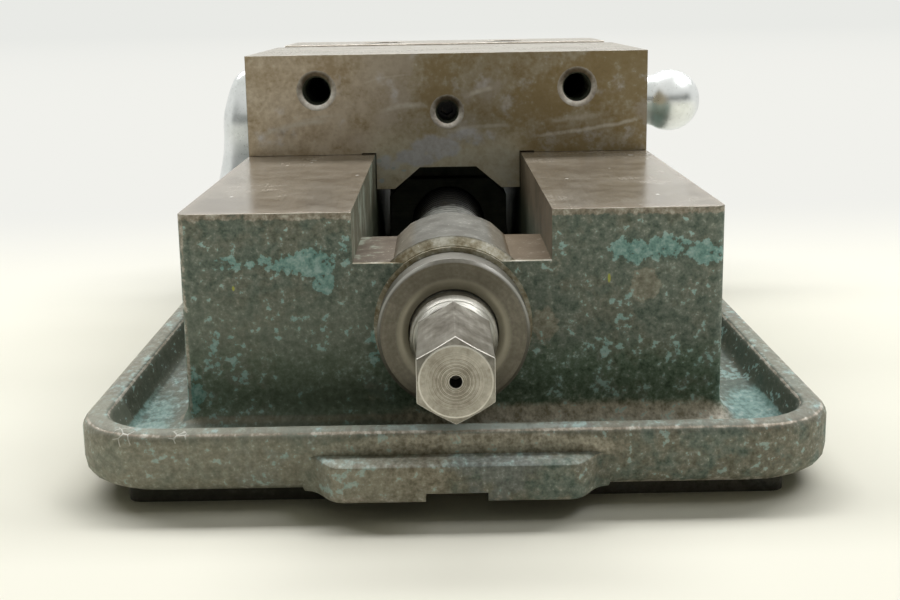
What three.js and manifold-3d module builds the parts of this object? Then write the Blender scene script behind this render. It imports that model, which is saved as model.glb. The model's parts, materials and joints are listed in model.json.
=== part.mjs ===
// A six inch milling machine vise with its socket handle lying between the jaws.
// Millimetres. +X is to the right, +Y runs from the screw end to the fixed jaw, +Z is up.
// The origin is the middle of the base's underside.
import * as THREE from 'three';
import { mergeVertices } from 'three/addons/utils/BufferGeometryUtils.js';
import Module from 'manifold-3d';

const wasm = await Module();
wasm.setup();

// General clearances and the overrun of every cut
const FIT = 0.3;
const OVERRUN = 2;
const RUNNING_GAP = 0.6;

// Bed: the casting between its front and rear faces, and its top, which carries the jaws
const JAW_WIDTH = 152.4;
const BED_LENGTH = 350;
const BED_CORNER_RADIUS = 3;
const FRONT_WALL = 45;
const REAR_WALL = 50;
const SLOT_WIDTH = 55.7;
const FLOOR_UNDER_NUT = 5;
const SILL_OVER_BUSH = 1.2;

// Base flange: the tray round the bed, its rim, the machined pad below it and its clamp lugs
const FLANGE_SIDE_REACH = 25.8;
const FLANGE_FRONT_REACH = 36.6;
const FLANGE_REAR_REACH = 30;
const FLANGE_CORNER_RADIUS = 25;
const FLANGE_BOTTOM = 5;
const TRAY_FLOOR = 13;
const RIM_TOP = 21.3;
const RIM_WIDTH = 8;
const RIM_DRAFT = 1.2;
const RIM_OUTER_ROUND = 3;
const RIM_INNER_ROUND = 2.5;
const RIM_LOWER_ROUND = 5;
const TRAY_FILLET = 3;
const ROOT_FILLET = 5;
const PAD_SIDE_INSET = 14;
const PAD_END_INSET = 8.6;
const PAD_CORNER_RADIUS = 4;
const LUG_REACH = 9.6;
const LUG_TOP = 15;
const LUG_ROOT_HALF_WIDTH = 40;
const LUG_FACE_HALF_WIDTH = 29;
const LUG_ROUND = 1.5;
const KEYWAY_WIDTH = 15.9;
const KEYWAY_TOP = 7.7;
const KEYWAY_LENGTH = 70;
const SIDE_KEYWAY_LENGTH = 44;
const POCKET_SLOT_WALL = 8.2;
const POCKET_OUTER_WALL = 10.2;
const POCKET_END_WALL = 45;
const POCKET_ROOF = 35;
const WEB_HALF_LENGTH = 30;
const WINDOW_SIDE_LEDGE = 9.85;
const WINDOW_END_WALL = 65;
const WINDOW_CORNER_RADIUS = 6;

// Screw line: it lies on the middle plane, as low as its collar can clear the fillet in the tray,
// and the bed is high enough for the jaw's tongue to clear the thread
const COLLAR_OVER_FILLET = 1.6;
const TONGUE_OVER_THREAD = 4.6;
const SHANK_RADIUS = 12;
const THREAD_RADIUS = 14.3;
const HEX_ACROSS_FLATS = 19.05;
const HEX_FRONT_REACH = 59;
const SHANK_FRONT_REACH = 17;
const HEX_FACE_RADIUS = 8.9;
const HEX_CHAMFER = 1;
const SHANK_CHAMFER = 1;
const CENTRE_HOLE_RADIUS = 1.6;
const CENTRE_HOLE_DEPTH = 7;
const SHOULDER_RADIUS = 19;
const SHOULDER_LENGTH = 6;
const SCREW_TAIL_REACH = 3;
const RING_GROOVE_RADIUS = 12.4;
const RING_TO_TAIL = 9;
const RING_THICKNESS = 2.4;
const RING_RADIUS = 17;
const RING_MOUTH_HALF_ANGLE = 0.42;
const SPOT_FACE_RADIUS = 22.3;
const SPOT_FACE_HEIGHT = 1;
const BOSS_RADIUS = 25;
const BOSS_CHAMFER = 2.4;
const BOSS_FACET_HALF_WIDTH = 12.4;
const BOSS_FACET_DEPTH = 0.9;
const BUSH_WALL = 4;
const BUSH_LENGTH = 38;
const BUSH_INSET = 2;
const COLLAR_RADIUS = 21;
const COLLAR_LENGTH = 10.7;
const COLLAR_CHAMFER = 1;
const COLLAR_DISH_WIDTH = 2.9;
const COLLAR_DISH_DEPTH = 1.3;
const GRUB_RADIUS = 2.5;
const REAR_BORE_RADIUS = 21;

// Thrust bearing: two races, a cage and its rollers
const RACE_RADIUS = 20;
const RACE_THICKNESS = 2.5;
const ROLLER_RADIUS = 2;
const ROLLER_LENGTH = 5;
const ROLLER_COUNT = 12;
const CAGE_THICKNESS = 2.4;

// Jaws: the fixed one stands near the bed's rear, the movable one by the gap between their plates
const JAW_HEIGHT = 37.8;
const JAW_OPENING = 27.3;
const MOVABLE_JAW_LENGTH = 96;
const FIXED_JAW_LENGTH = 47.3;
const FIXED_JAW_REAR_SETBACK = 7;
const FIXED_JAW_CHAMFER = 1.6;
const PLATE_THICKNESS = 12.7;
const PLATE_LIFT = 0.5;
const PLATE_CHAMFER = 0.8;
const TONGUE_DEPTH = 13.5;
const ARCH_DEPTH = 5.3;
const ARCH_TOP_WIDTH = 21.5;
const ARCH_BOTTOM_WIDTH = 41;
const RELIEF_WIDTH = 5.4;
const RELIEF_HEIGHT = 1.2;

// Screws that hold the plates and the fixed jaw
const PLATE_SCREW_FROM_END = 26.7;
const PLATE_SCREW_HEIGHT = 24.5;
const TAPPED_RADIUS = 5.5;
const PLATE_HOLE_RADIUS = 6.6;
const PLATE_HEAD_RADIUS = 9.3;
const PLATE_HEAD_LENGTH = 8.6;
const PLATE_HEAD_INSET = 0.7;
const PLATE_SCREW_GRIP = 22;
const TAPPED_CHAMFER = 1;
const JAW_BOLT_SPACING = 60;
const JAW_BOLT_SETBACK = 38;
const JAW_BOLT_RADIUS = 7;
const JAW_BOLT_HEAD_RADIUS = 10.5;
const JAW_BOLT_HEAD_LENGTH = 12;
const JAW_BOLT_HEAD_INSET = 3;
const JAW_BOLT_GRIP = 26;
const SOCKET_DEPTH = 5;
const HEAD_SOCKET_SHARE = 0.54;
const JAW_KEY_SETBACK = 16;
const JAW_KEY_WIDTH = 9.5;
const JAW_KEY_HEIGHT = 9.5;
const JAW_KEY_HALF_LENGTH = 40;

// Angle lock: the nut's head leans over, and the half ball under it pulls the jaw down
const LOCK_ANGLE = THREE.MathUtils.degToRad(15);
const NUT_FROM_JAW_BACK = 36;
const NUT_LENGTH = 48;
const NUT_SIDE_GAP = 3.85;
const NUT_UNDER_THREAD = 6.3;
const NUT_CORNER = 7;
const NUT_HEAD_HALF_WIDTH = 18;
const NUT_HEAD_BACK_INSET = 6;
const NUT_HEAD_TOP = 19;
const SEGMENT_RADIUS = 13;
const SEGMENT_HEIGHT = 5;
const SEGMENT_FROM_NUT_BACK = 26;
const SEAT_GAP = 3;
const CAVITY_ROOF = 21;
const CAVITY_SIDE_GAP = 1.5;
const JAW_SCREW_HEIGHT = 15.8;
const JAW_SCREW_RADIUS = 4.45;
const JAW_SCREW_LENGTH = 25.4;

// Handle: it lies across the bed against the fixed jaw's plate, with its hub hanging outside
const ARM_RADIUS = 9.7;
const ARM_TO_PLATE = 0.5;
const ARM_SPIGOT_RADIUS = 6;
const ARM_SPIGOT_LENGTH = 11;
const BALL_FROM_JAW_END = 29.5;
const BALL_RADIUS = 14.3;
const NECK_LENGTH = 16;
const NECK_RADIUS = 10.6;
const HUB_SIDE_GAP = 0.6;
const HUB_MOUTH_RADIUS = 16;
const HUB_TOP = 27;
const HUB_MOUTH = -47;
const HUB_SOCKET_DEPTH = 25;
const HUB_SOCKET_GAP = 0.4;
const HUB_NECK_RADIUS = 12.6;

// Places that follow from the sizes above
const HALF_WIDTH = JAW_WIDTH / 2;
const FRONT = -BED_LENGTH / 2;
const REAR = BED_LENGTH / 2;
const AXIS_Z = TRAY_FLOOR + ROOT_FILLET + COLLAR_OVER_FILLET + COLLAR_RADIUS;
const BED_HEIGHT = AXIS_Z + THREAD_RADIUS + TONGUE_OVER_THREAD + TONGUE_DEPTH;
const NUT_BOTTOM = AXIS_Z - THREAD_RADIUS - NUT_UNDER_THREAD;
const SLOT_FLOOR = NUT_BOTTOM - FLOOR_UNDER_NUT;
const HALF_SLOT = SLOT_WIDTH / 2;
const SLOT_FRONT = FRONT + FRONT_WALL;
const SLOT_REAR = REAR - REAR_WALL;
const SHAFT_BORE = SHANK_RADIUS + FIT;
const BUSH_SEAT = SHAFT_BORE + BUSH_WALL + FIT;
const SILL = AXIS_Z + BUSH_SEAT + SILL_OVER_BUSH;
const JAW_TOP = BED_HEIGHT + JAW_HEIGHT;
const FIXED_REAR = REAR - FIXED_JAW_REAR_SETBACK;
const FIXED_FRONT = FIXED_REAR - FIXED_JAW_LENGTH;
const FIXED_PLATE_FACE = FIXED_FRONT - PLATE_THICKNESS;
const JAW_FRONT = FIXED_PLATE_FACE - JAW_OPENING - PLATE_THICKNESS;
const JAW_BACK = JAW_FRONT - MOVABLE_JAW_LENGTH;
const RACE_REAR_FACE = SLOT_FRONT + 2 * RACE_THICKNESS + 2 * (ROLLER_RADIUS + FIT);
const ROLLER_Y = SLOT_FRONT + RACE_THICKNESS + FIT + ROLLER_RADIUS;
const SCREW_TAIL = SLOT_REAR + SCREW_TAIL_REACH;
const NUT_REAR = JAW_BACK + NUT_FROM_JAW_BACK;
const NUT_HALF_WIDTH = HALF_SLOT - NUT_SIDE_GAP;
const FLANGE_HALF_WIDTH = HALF_WIDTH + FLANGE_SIDE_REACH;
const HALF_TURN = 180;
const QUARTER_TURN = 90;

// Painted, worn and bare finishes
function finish(color, roughness, metalness) {
  return new THREE.MeshStandardMaterial({ color, roughness, metalness, flatShading: true });
}

const paintedIron = () => finish('#4a5550', 0.72, 0.25);
const groundSteel = () => finish('#8a8076', 0.38, 0.85);
const brownSteel = () => finish('#75685b', 0.45, 0.8);
const darkSteel = () => finish('#504b45', 0.42, 0.85);
const brightSteel = () => finish('#a39c93', 0.3, 0.95);
const blackScrew = () => finish('#2c2b2a', 0.5, 0.7);
const bronze = () => finish('#a07a45', 0.4, 0.9);
const chrome = () => finish('#c9ccce', 0.12, 1);

// Solids: closed meshes that can be joined and cut
function solid(geometry) {
  const bare = geometry.clone();
  bare.deleteAttribute('normal');
  bare.deleteAttribute('uv');
  const merged = mergeVertices(bare);
  const places = merged.attributes.position.array;
  const corners = Uint32Array.from(merged.index.array);
  if (signedVolume(places, corners) < 0) corners.reverse();
  return new wasm.Manifold(
    new wasm.Mesh({ numProp: 3, vertProperties: Float32Array.from(places), triVerts: corners }),
  );
}

function signedVolume(places, corners) {
  const [a, b, c] = [new THREE.Vector3(), new THREE.Vector3(), new THREE.Vector3()];
  let sum = 0;
  for (let i = 0; i < corners.length; i += 3) {
    a.fromArray(places, 3 * corners[i]);
    b.fromArray(places, 3 * corners[i + 1]);
    c.fromArray(places, 3 * corners[i + 2]);
    sum += a.dot(b.cross(c));
  }
  return sum;
}

function union(...solids) {
  return solids.reduce((whole, piece) => whole.add(piece));
}

function cut(whole, ...tools) {
  return tools.reduce((left, tool) => left.subtract(tool), whole);
}

function block([x0, x1], [y0, y1], [z0, z1]) {
  const box = new THREE.BoxGeometry(x1 - x0, y1 - y0, z1 - z0);
  return solid(box.translate((x0 + x1) / 2, (y0 + y1) / 2, (z0 + z1) / 2));
}

// A profile of [radius, distance along the axis] pairs, turned about an axis through a point
const ALONG = {
  x: new THREE.Matrix4().makeRotationZ(-Math.PI / 2),
  y: new THREE.Matrix4(),
  z: new THREE.Matrix4().makeRotationX(Math.PI / 2),
};

function turned(profile, axis, point, sides) {
  const outline = profile.map(([radius, along]) => new THREE.Vector2(radius, along));
  const body = new THREE.LatheGeometry(outline, sides).applyMatrix4(ALONG[axis]);
  return solid(body.translate(...point));
}

function rod(radius, start, end, axis, point, sides) {
  return turned([[0, start], [radius, start], [radius, end], [0, end]], axis, point, sides);
}

function ring(inner, outer, start, end, axis, point, sides) {
  const section = [[inner, start], [outer, start], [outer, end], [inner, end], [inner, start]];
  return turned(section, axis, point, sides);
}

// A countersink on a hole whose mouth faces the negative or positive end of the axis
function countersink(radius, depth, mouth, outward, axis, point, sides) {
  const wide = radius + depth + OVERRUN;
  const profile = [[0, mouth - outward * depth], [radius, mouth - outward * depth],
    [wide, mouth + outward * OVERRUN], [0, mouth + outward * OVERRUN]];
  return turned(profile, axis, point, sides);
}

// Prisms: an outline in X and Z pushed along Y, or an outline in X and Y pushed up Z
function prismAlongY(outline, start, end, curveSegments = 8) {
  const body = new THREE.ExtrudeGeometry(outline, { depth: end - start, bevelEnabled: false, curveSegments });
  return solid(body.rotateX(Math.PI / 2).translate(0, end, 0));
}

function prismAlongZ(outline, start, end, curveSegments = 8) {
  const body = new THREE.ExtrudeGeometry(outline, { depth: end - start, bevelEnabled: false, curveSegments });
  return solid(body.translate(0, 0, start));
}

function prismAlongX(outline, start, end, curveSegments = 8) {
  const body = new THREE.ExtrudeGeometry(outline, { depth: end - start, bevelEnabled: false, curveSegments });
  const turn = new THREE.Matrix4().makeBasis(
    new THREE.Vector3(0, 1, 0), new THREE.Vector3(0, 0, 1), new THREE.Vector3(1, 0, 0));
  return solid(body.applyMatrix4(turn).translate(start, 0, 0));
}

function polygon(points) {
  return new THREE.Shape(points.map(([a, b]) => new THREE.Vector2(a, b)));
}

function roundedRectangle([x0, x1], [y0, y1], radius) {
  const shape = new THREE.Shape();
  shape.moveTo(x0 + radius, y0);
  shape.lineTo(x1 - radius, y0);
  shape.absarc(x1 - radius, y0 + radius, radius, -Math.PI / 2, 0);
  shape.lineTo(x1, y1 - radius);
  shape.absarc(x1 - radius, y1 - radius, radius, 0, Math.PI / 2);
  shape.lineTo(x0 + radius, y1);
  shape.absarc(x0 + radius, y1 - radius, radius, Math.PI / 2, Math.PI);
  shape.lineTo(x0, y0 + radius);
  shape.absarc(x0 + radius, y0 + radius, radius, Math.PI, Math.PI * 1.5);
  return shape;
}

function hexagon(acrossFlats, x, y) {
  const corner = acrossFlats / Math.sqrt(3);
  return polygon(Array.from({ length: 6 }, (_, i) => {
    const angle = Math.PI / 6 + (i * Math.PI) / 3;
    return [x + corner * Math.cos(angle), y + corner * Math.sin(angle)];
  }));
}

// Points on an arc of a profile, both ends included
function arc([x, y], radius, from, to, steps) {
  return Array.from({ length: steps + 1 }, (_, i) => {
    const angle = THREE.MathUtils.degToRad(from + ((to - from) * i) / steps);
    return [x + radius * Math.cos(angle), y + radius * Math.sin(angle)];
  });
}

// A closed section of [inset, height] pairs carried round a rectangle with rounded corners
function carriedRound([x0, x1], [y0, y1], cornerRadius, section, cornerSteps) {
  const centres = [[x1, y0, -QUARTER_TURN], [x1, y1, 0], [x0, y1, QUARTER_TURN], [x0, y0, HALF_TURN]];
  const middle = [(x0 + x1) / 2, (y0 + y1) / 2];
  const rings = section.map(([inset, z]) => centres.flatMap(([cx, cy, turn]) => {
    const x = cx + Math.sign(middle[0] - cx) * cornerRadius;
    const y = cy + Math.sign(middle[1] - cy) * cornerRadius;
    return arc([x, y], cornerRadius - inset, turn, turn + QUARTER_TURN, cornerSteps).map(([px, py]) => [px, py, z]);
  }));
  const around = rings[0].length;
  const index = [];
  for (let s = 0; s < rings.length; s += 1) {
    const next = (s + 1) % rings.length;
    for (let i = 0; i < around; i += 1) {
      const j = (i + 1) % around;
      const [a, b, c, d] = [s * around + i, s * around + j, next * around + j, next * around + i];
      index.push(a, b, c, a, c, d);
    }
  }
  const body = new THREE.BufferGeometry();
  body.setAttribute('position', new THREE.Float32BufferAttribute(rings.flat(2), 3));
  body.setIndex(index);
  return solid(body);
}

// One named mesh from a solid
const vise = new THREE.Group();

function addPiece(name, piece, material) {
  const { vertProperties, triVerts } = piece.getMesh();
  const geometry = new THREE.BufferGeometry();
  geometry.setAttribute('position', new THREE.BufferAttribute(Float32Array.from(vertProperties), 3));
  geometry.setIndex(new THREE.BufferAttribute(Uint32Array.from(triVerts), 1));
  geometry.computeVertexNormals();
  const mesh = new THREE.Mesh(geometry, material);
  mesh.name = name;
  vise.add(mesh);
}

// Base flange
const FLANGE_X = [-FLANGE_HALF_WIDTH, FLANGE_HALF_WIDTH];
const FLANGE_Y = [FRONT - FLANGE_FRONT_REACH, REAR + FLANGE_REAR_REACH];

function flangeTray() {
  const innerTop = RIM_WIDTH + RIM_DRAFT;
  const innerFoot = innerTop + TRAY_FILLET;
  const rim = [
    ...arc([RIM_LOWER_ROUND, FLANGE_BOTTOM + RIM_LOWER_ROUND], RIM_LOWER_ROUND, 270, 180, 4),
    ...arc([RIM_OUTER_ROUND, RIM_TOP - RIM_OUTER_ROUND], RIM_OUTER_ROUND, 180, 90, 3),
    ...arc([RIM_WIDTH - RIM_INNER_ROUND, RIM_TOP - RIM_INNER_ROUND], RIM_INNER_ROUND, 90, 0, 3),
    ...arc([innerFoot, TRAY_FLOOR + TRAY_FILLET], TRAY_FILLET, 180, 270, 3),
    [innerFoot, FLANGE_BOTTOM],
  ];
  const ringOfRim = carriedRound(FLANGE_X, FLANGE_Y, FLANGE_CORNER_RADIUS, rim, 7);
  const slabInset = (innerTop + innerFoot) / 2;
  const slab = prismAlongZ(
    roundedRectangle(
      [FLANGE_X[0] + slabInset, FLANGE_X[1] - slabInset],
      [FLANGE_Y[0] + slabInset, FLANGE_Y[1] - slabInset],
      FLANGE_CORNER_RADIUS - slabInset,
    ),
    FLANGE_BOTTOM, TRAY_FLOOR, 7);
  return union(ringOfRim, slab);
}

function basePad() {
  const x = FLANGE_HALF_WIDTH - PAD_SIDE_INSET;
  const y = [FLANGE_Y[0] + PAD_END_INSET, FLANGE_Y[1] - PAD_END_INSET];
  return prismAlongZ(roundedRectangle([-x, x], y, PAD_CORNER_RADIUS), 0, TRAY_FLOOR, 3);
}

// A clamp lug swells out of the flange's end in an S curve on each side
function clampLug(root, outward) {
  const face = root + outward * LUG_REACH;
  const inside = root - outward * (RIM_WIDTH / 2);
  const bend = (LUG_ROOT_HALF_WIDTH + LUG_FACE_HALF_WIDTH) / 2;
  const plan = new THREE.Shape();
  plan.moveTo(-LUG_ROOT_HALF_WIDTH, inside);
  plan.lineTo(-LUG_ROOT_HALF_WIDTH, root);
  plan.bezierCurveTo(-bend, root, -bend, face, -LUG_FACE_HALF_WIDTH, face);
  plan.lineTo(LUG_FACE_HALF_WIDTH, face);
  plan.bezierCurveTo(bend, face, bend, root, LUG_ROOT_HALF_WIDTH, root);
  plan.lineTo(LUG_ROOT_HALF_WIDTH, inside);
  const body = new THREE.ExtrudeGeometry(plan, {
    depth: LUG_TOP - FLANGE_BOTTOM - 2 * LUG_ROUND,
    bevelThickness: LUG_ROUND,
    bevelSize: LUG_ROUND,
    bevelOffset: -LUG_ROUND,
    bevelSegments: 2,
    curveSegments: 7,
  });
  return solid(body.translate(0, 0, FLANGE_BOTTOM + LUG_ROUND));
}

function keyways() {
  const half = KEYWAY_WIDTH / 2;
  const ends = [FLANGE_Y[0] - LUG_REACH, FLANGE_Y[1] + LUG_REACH];
  const side = [FLANGE_HALF_WIDTH - SIDE_KEYWAY_LENGTH, FLANGE_HALF_WIDTH + OVERRUN];
  const height = [-OVERRUN, KEYWAY_TOP];
  return union(
    block([-half, half], [ends[0] - OVERRUN, ends[0] + KEYWAY_LENGTH], height),
    block([-half, half], [ends[1] - KEYWAY_LENGTH, ends[1] + OVERRUN], height),
    block(side, [-half, half], height),
    block([-side[1], -side[0]], [-half, half], height),
  );
}

// Cored pockets under the ways, and the windows in the floor of the slot
function corePockets() {
  const x = [HALF_SLOT + POCKET_SLOT_WALL, HALF_WIDTH - POCKET_OUTER_WALL];
  const pockets = [];
  const pocketEnd = REAR - POCKET_END_WALL;
  for (const across of [x, [-x[1], -x[0]]]) {
    for (const along of [[WEB_HALF_LENGTH, pocketEnd], [-pocketEnd, -WEB_HALF_LENGTH]]) {
      const plan = roundedRectangle(across, along, WINDOW_CORNER_RADIUS);
      pockets.push(prismAlongZ(plan, -OVERRUN, BED_HEIGHT - POCKET_ROOF, 3));
    }
  }
  const windowHalf = HALF_SLOT - WINDOW_SIDE_LEDGE;
  const windowEnd = REAR - WINDOW_END_WALL;
  for (const along of [[WEB_HALF_LENGTH, windowEnd], [-windowEnd, -WEB_HALF_LENGTH]]) {
    const plan = roundedRectangle([-windowHalf, windowHalf], along, WINDOW_CORNER_RADIUS);
    pockets.push(prismAlongZ(plan, -OVERRUN, SLOT_FLOOR + OVERRUN, 3));
  }
  return union(...pockets);
}

// Round boss over the screw, standing above the sill of the front wall, with a facet down each side
function screwBoss() {
  const profile = [[0, FRONT], [BOSS_RADIUS - BOSS_CHAMFER, FRONT], [BOSS_RADIUS, FRONT + BOSS_CHAMFER],
    [BOSS_RADIUS, SLOT_FRONT], [0, SLOT_FRONT]];
  const boss = turned(profile, 'y', [0, 0, AXIS_Z], 48);
  const edge = BOSS_FACET_HALF_WIDTH;
  const edgeZ = AXIS_Z + Math.sqrt(BOSS_RADIUS ** 2 - edge ** 2);
  const foot = Math.sqrt(BOSS_RADIUS ** 2 - (SILL - AXIS_Z) ** 2) - BOSS_FACET_DEPTH;
  const facet = [[edge, edgeZ], [foot, SILL], [foot, AXIS_Z], [BOSS_RADIUS + OVERRUN, AXIS_Z],
    [BOSS_RADIUS + OVERRUN, edgeZ + (edgeZ - SILL)], [edge - (foot - edge), edgeZ + (edgeZ - SILL)]];
  const start = FRONT + BOSS_CHAMFER;
  const facets = [facet, facet.map(([x, z]) => [-x, z])].map((outline) => (
    prismAlongY(polygon(outline), start, SLOT_FRONT + OVERRUN)));
  const spot = rod(SPOT_FACE_RADIUS, FRONT - SPOT_FACE_HEIGHT, FRONT + OVERRUN, 'y', [0, 0, AXIS_Z], 48);
  return union(cut(boss, ...facets), spot);
}

// Cross key that places the fixed jaw, half in the bed and half in the jaw, or its groove
function crossKey(gap) {
  const x = JAW_KEY_HALF_LENGTH + gap;
  const y = JAW_KEY_WIDTH / 2 + gap;
  const z = JAW_KEY_HEIGHT / 2 + gap;
  const middle = FIXED_REAR - JAW_KEY_SETBACK;
  return block([-x, x], [middle - y, middle + y], [BED_HEIGHT - z, BED_HEIGHT + z]);
}

function bedCasting() {
  const column = prismAlongZ(
    roundedRectangle([-HALF_WIDTH, HALF_WIDTH], [FRONT, REAR], BED_CORNER_RADIUS),
    FLANGE_BOTTOM, BED_HEIGHT, 4);
  const filletReach = BED_CORNER_RADIUS + ROOT_FILLET;
  const rootFillet = carriedRound(
    [-HALF_WIDTH - ROOT_FILLET, HALF_WIDTH + ROOT_FILLET], [FRONT - ROOT_FILLET, REAR + ROOT_FILLET],
    filletReach,
    [
      ...arc([0, TRAY_FLOOR + ROOT_FILLET], ROOT_FILLET, 270, 360, 4),
      [ROOT_FILLET + BED_CORNER_RADIUS / 2, TRAY_FLOOR + ROOT_FILLET],
      [ROOT_FILLET + BED_CORNER_RADIUS / 2, FLANGE_BOTTOM + LUG_ROUND],
      [0, FLANGE_BOTTOM + LUG_ROUND],
    ], 4);
  const slot = block([-HALF_SLOT, HALF_SLOT], [SLOT_FRONT, SLOT_REAR], [SLOT_FLOOR, BED_HEIGHT + OVERRUN]);
  const sill = block([-HALF_SLOT, HALF_SLOT], [FRONT - OVERRUN, SLOT_FRONT + OVERRUN],
    [SILL, BED_HEIGHT + OVERRUN]);
  const axisPoint = [0, 0, AXIS_Z];
  const bore = rod(BUSH_SEAT, FRONT - FLANGE_FRONT_REACH, SLOT_FRONT + OVERRUN,
    'y', axisPoint, 40);
  const rearBore = rod(REAR_BORE_RADIUS, SLOT_REAR - OVERRUN, REAR + OVERRUN, 'y', axisPoint, 40);
  const boltHoles = [-1, 1].map((side) => rod(JAW_BOLT_RADIUS + FIT,
    BED_HEIGHT - JAW_BOLT_GRIP - OVERRUN, BED_HEIGHT + OVERRUN, 'z',
    [(side * JAW_BOLT_SPACING) / 2, REAR - JAW_BOLT_SETBACK, 0], 24));
  const shell = cut(union(column, rootFillet, flangeTray(), basePad(),
    clampLug(FLANGE_Y[0], -1), clampLug(FLANGE_Y[1], 1)), slot, sill);
  return cut(union(shell, screwBoss()), bore, rearBore, keyways(), corePockets(), crossKey(FIT), ...boltHoles);
}

addPiece('bed_casting', bedCasting(), paintedIron());

// Tapped holes that run right through both jaws for the plates' screws
function plateScrewPlaces() {
  const x = HALF_WIDTH - PLATE_SCREW_FROM_END;
  return [-x, x].map((place) => [place, 0, BED_HEIGHT + PLATE_SCREW_HEIGHT]);
}

function tappedHoles(start, end, mouth, outward) {
  return plateScrewPlaces().flatMap((place) => [
    rod(TAPPED_RADIUS, start - OVERRUN, end + OVERRUN, 'y', place, 24),
    countersink(TAPPED_RADIUS, TAPPED_CHAMFER, mouth, outward, 'y', place, 24),
  ]);
}

// Socket head screw: head then shank from its seat, pointing down the axis from the seat
function socketScrew(head, headLength, shank, shankLength) {
  const profile = [[0, -headLength], [head - SHANK_CHAMFER, -headLength], [head, -headLength + SHANK_CHAMFER],
    [head, 0], [shank, 0], [shank, shankLength - SHANK_CHAMFER], [shank - SHANK_CHAMFER, shankLength],
    [0, shankLength]];
  const body = new THREE.LatheGeometry(profile.map(([r, y]) => new THREE.Vector2(r, y)), 24);
  const socket = prismAlongY(hexagon(2 * head * HEAD_SOCKET_SHARE, 0, 0), -headLength - OVERRUN,
    -headLength + SOCKET_DEPTH);
  return cut(solid(body), socket);
}

function plate(faceY, backY) {
  const [y0, y1] = [Math.min(faceY, backY), Math.max(faceY, backY)];
  const inward = Math.sign(backY - faceY);
  const foot = BED_HEIGHT + PLATE_LIFT;
  const c = PLATE_CHAMFER;
  const section = inward > 0
    ? [[y0 + c, foot], [y1, foot], [y1, JAW_TOP], [y0 + c, JAW_TOP], [y0, JAW_TOP - c], [y0, foot + c]]
    : [[y0, foot], [y1 - c, foot], [y1, foot + c], [y1, JAW_TOP - c], [y1 - c, JAW_TOP], [y0, JAW_TOP]];
  const body = prismAlongX(polygon(section), -HALF_WIDTH, HALF_WIDTH);
  const seat = faceY + inward * (PLATE_HEAD_INSET + PLATE_HEAD_LENGTH);
  const holes = plateScrewPlaces().flatMap((place) => [
    rod(PLATE_HOLE_RADIUS, y0 - OVERRUN, y1 + OVERRUN, 'y', place, 24),
    rod(PLATE_HEAD_RADIUS + FIT, ...[seat + inward * FIT, faceY - inward * OVERRUN].sort((a, b) => a - b),
      'y', place, 28),
  ]);
  return cut(body, ...holes);
}

function addPlateScrews(prefix, faceY, inward) {
  const seat = faceY + inward * (PLATE_HEAD_INSET + PLATE_HEAD_LENGTH);
  const length = PLATE_THICKNESS - PLATE_HEAD_INSET - PLATE_HEAD_LENGTH + PLATE_SCREW_GRIP;
  const screw = socketScrew(PLATE_HEAD_RADIUS, PLATE_HEAD_LENGTH, TAPPED_RADIUS - FIT, length);
  plateScrewPlaces().forEach(([x, , z], i) => {
    const turnedScrew = inward > 0 ? screw : screw.rotate([0, 0, 180]);
    addPiece(`${prefix}_screw_${i === 0 ? 'left' : 'right'}`, turnedScrew.translate([x, seat, z]), blackScrew());
  });
}

// Fixed jaw with its plate, two bolts and cross key
function fixedJaw() {
  const c = FIXED_JAW_CHAMFER;
  const section = polygon([[FIXED_FRONT, BED_HEIGHT], [FIXED_REAR, BED_HEIGHT], [FIXED_REAR, JAW_TOP - c],
    [FIXED_REAR - c, JAW_TOP], [FIXED_FRONT, JAW_TOP]]);
  const body = prismAlongX(section, -HALF_WIDTH, HALF_WIDTH);
  const seat = JAW_TOP - JAW_BOLT_HEAD_INSET - JAW_BOLT_HEAD_LENGTH - FIT;
  const boltHoles = [-1, 1].flatMap((side) => {
    const place = [(side * JAW_BOLT_SPACING) / 2, REAR - JAW_BOLT_SETBACK, 0];
    return [rod(JAW_BOLT_RADIUS + FIT, BED_HEIGHT - OVERRUN, JAW_TOP + OVERRUN, 'z', place, 24),
      rod(JAW_BOLT_HEAD_RADIUS + FIT, seat, JAW_TOP + OVERRUN, 'z', place, 28)];
  });
  return cut(body, crossKey(FIT), ...boltHoles, ...tappedHoles(FIXED_FRONT, FIXED_REAR, FIXED_REAR, 1));
}

addPiece('fixed_jaw', fixedJaw(), brownSteel());
addPiece('fixed_jaw_plate', plate(FIXED_PLATE_FACE, FIXED_FRONT), groundSteel());
addPlateScrews('fixed_plate', FIXED_PLATE_FACE, 1);

[-1, 1].forEach((side) => {
  const seat = JAW_TOP - JAW_BOLT_HEAD_INSET - JAW_BOLT_HEAD_LENGTH;
  const bolt = socketScrew(JAW_BOLT_HEAD_RADIUS, JAW_BOLT_HEAD_LENGTH, JAW_BOLT_RADIUS,
    seat - BED_HEIGHT + JAW_BOLT_GRIP).rotate([-90, 0, 0]);
  addPiece(`fixed_jaw_bolt_${side < 0 ? 'left' : 'right'}`,
    bolt.translate([(side * JAW_BOLT_SPACING) / 2, REAR - JAW_BOLT_SETBACK, seat]), blackScrew());
});

addPiece('fixed_jaw_key', crossKey(0), groundSteel());

// Angle lock: places on the middle plane, in Y and Z
const LOCK_POINT = [NUT_REAR + SEGMENT_FROM_NUT_BACK, BED_HEIGHT + SEGMENT_HEIGHT];

// Y of the nut's leaning face at a height, moved off that face by a gap
function leaningFace(z, gap) {
  return LOCK_POINT[0] + (z - LOCK_POINT[1]) * Math.tan(LOCK_ANGLE) + gap / Math.cos(LOCK_ANGLE);
}

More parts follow.
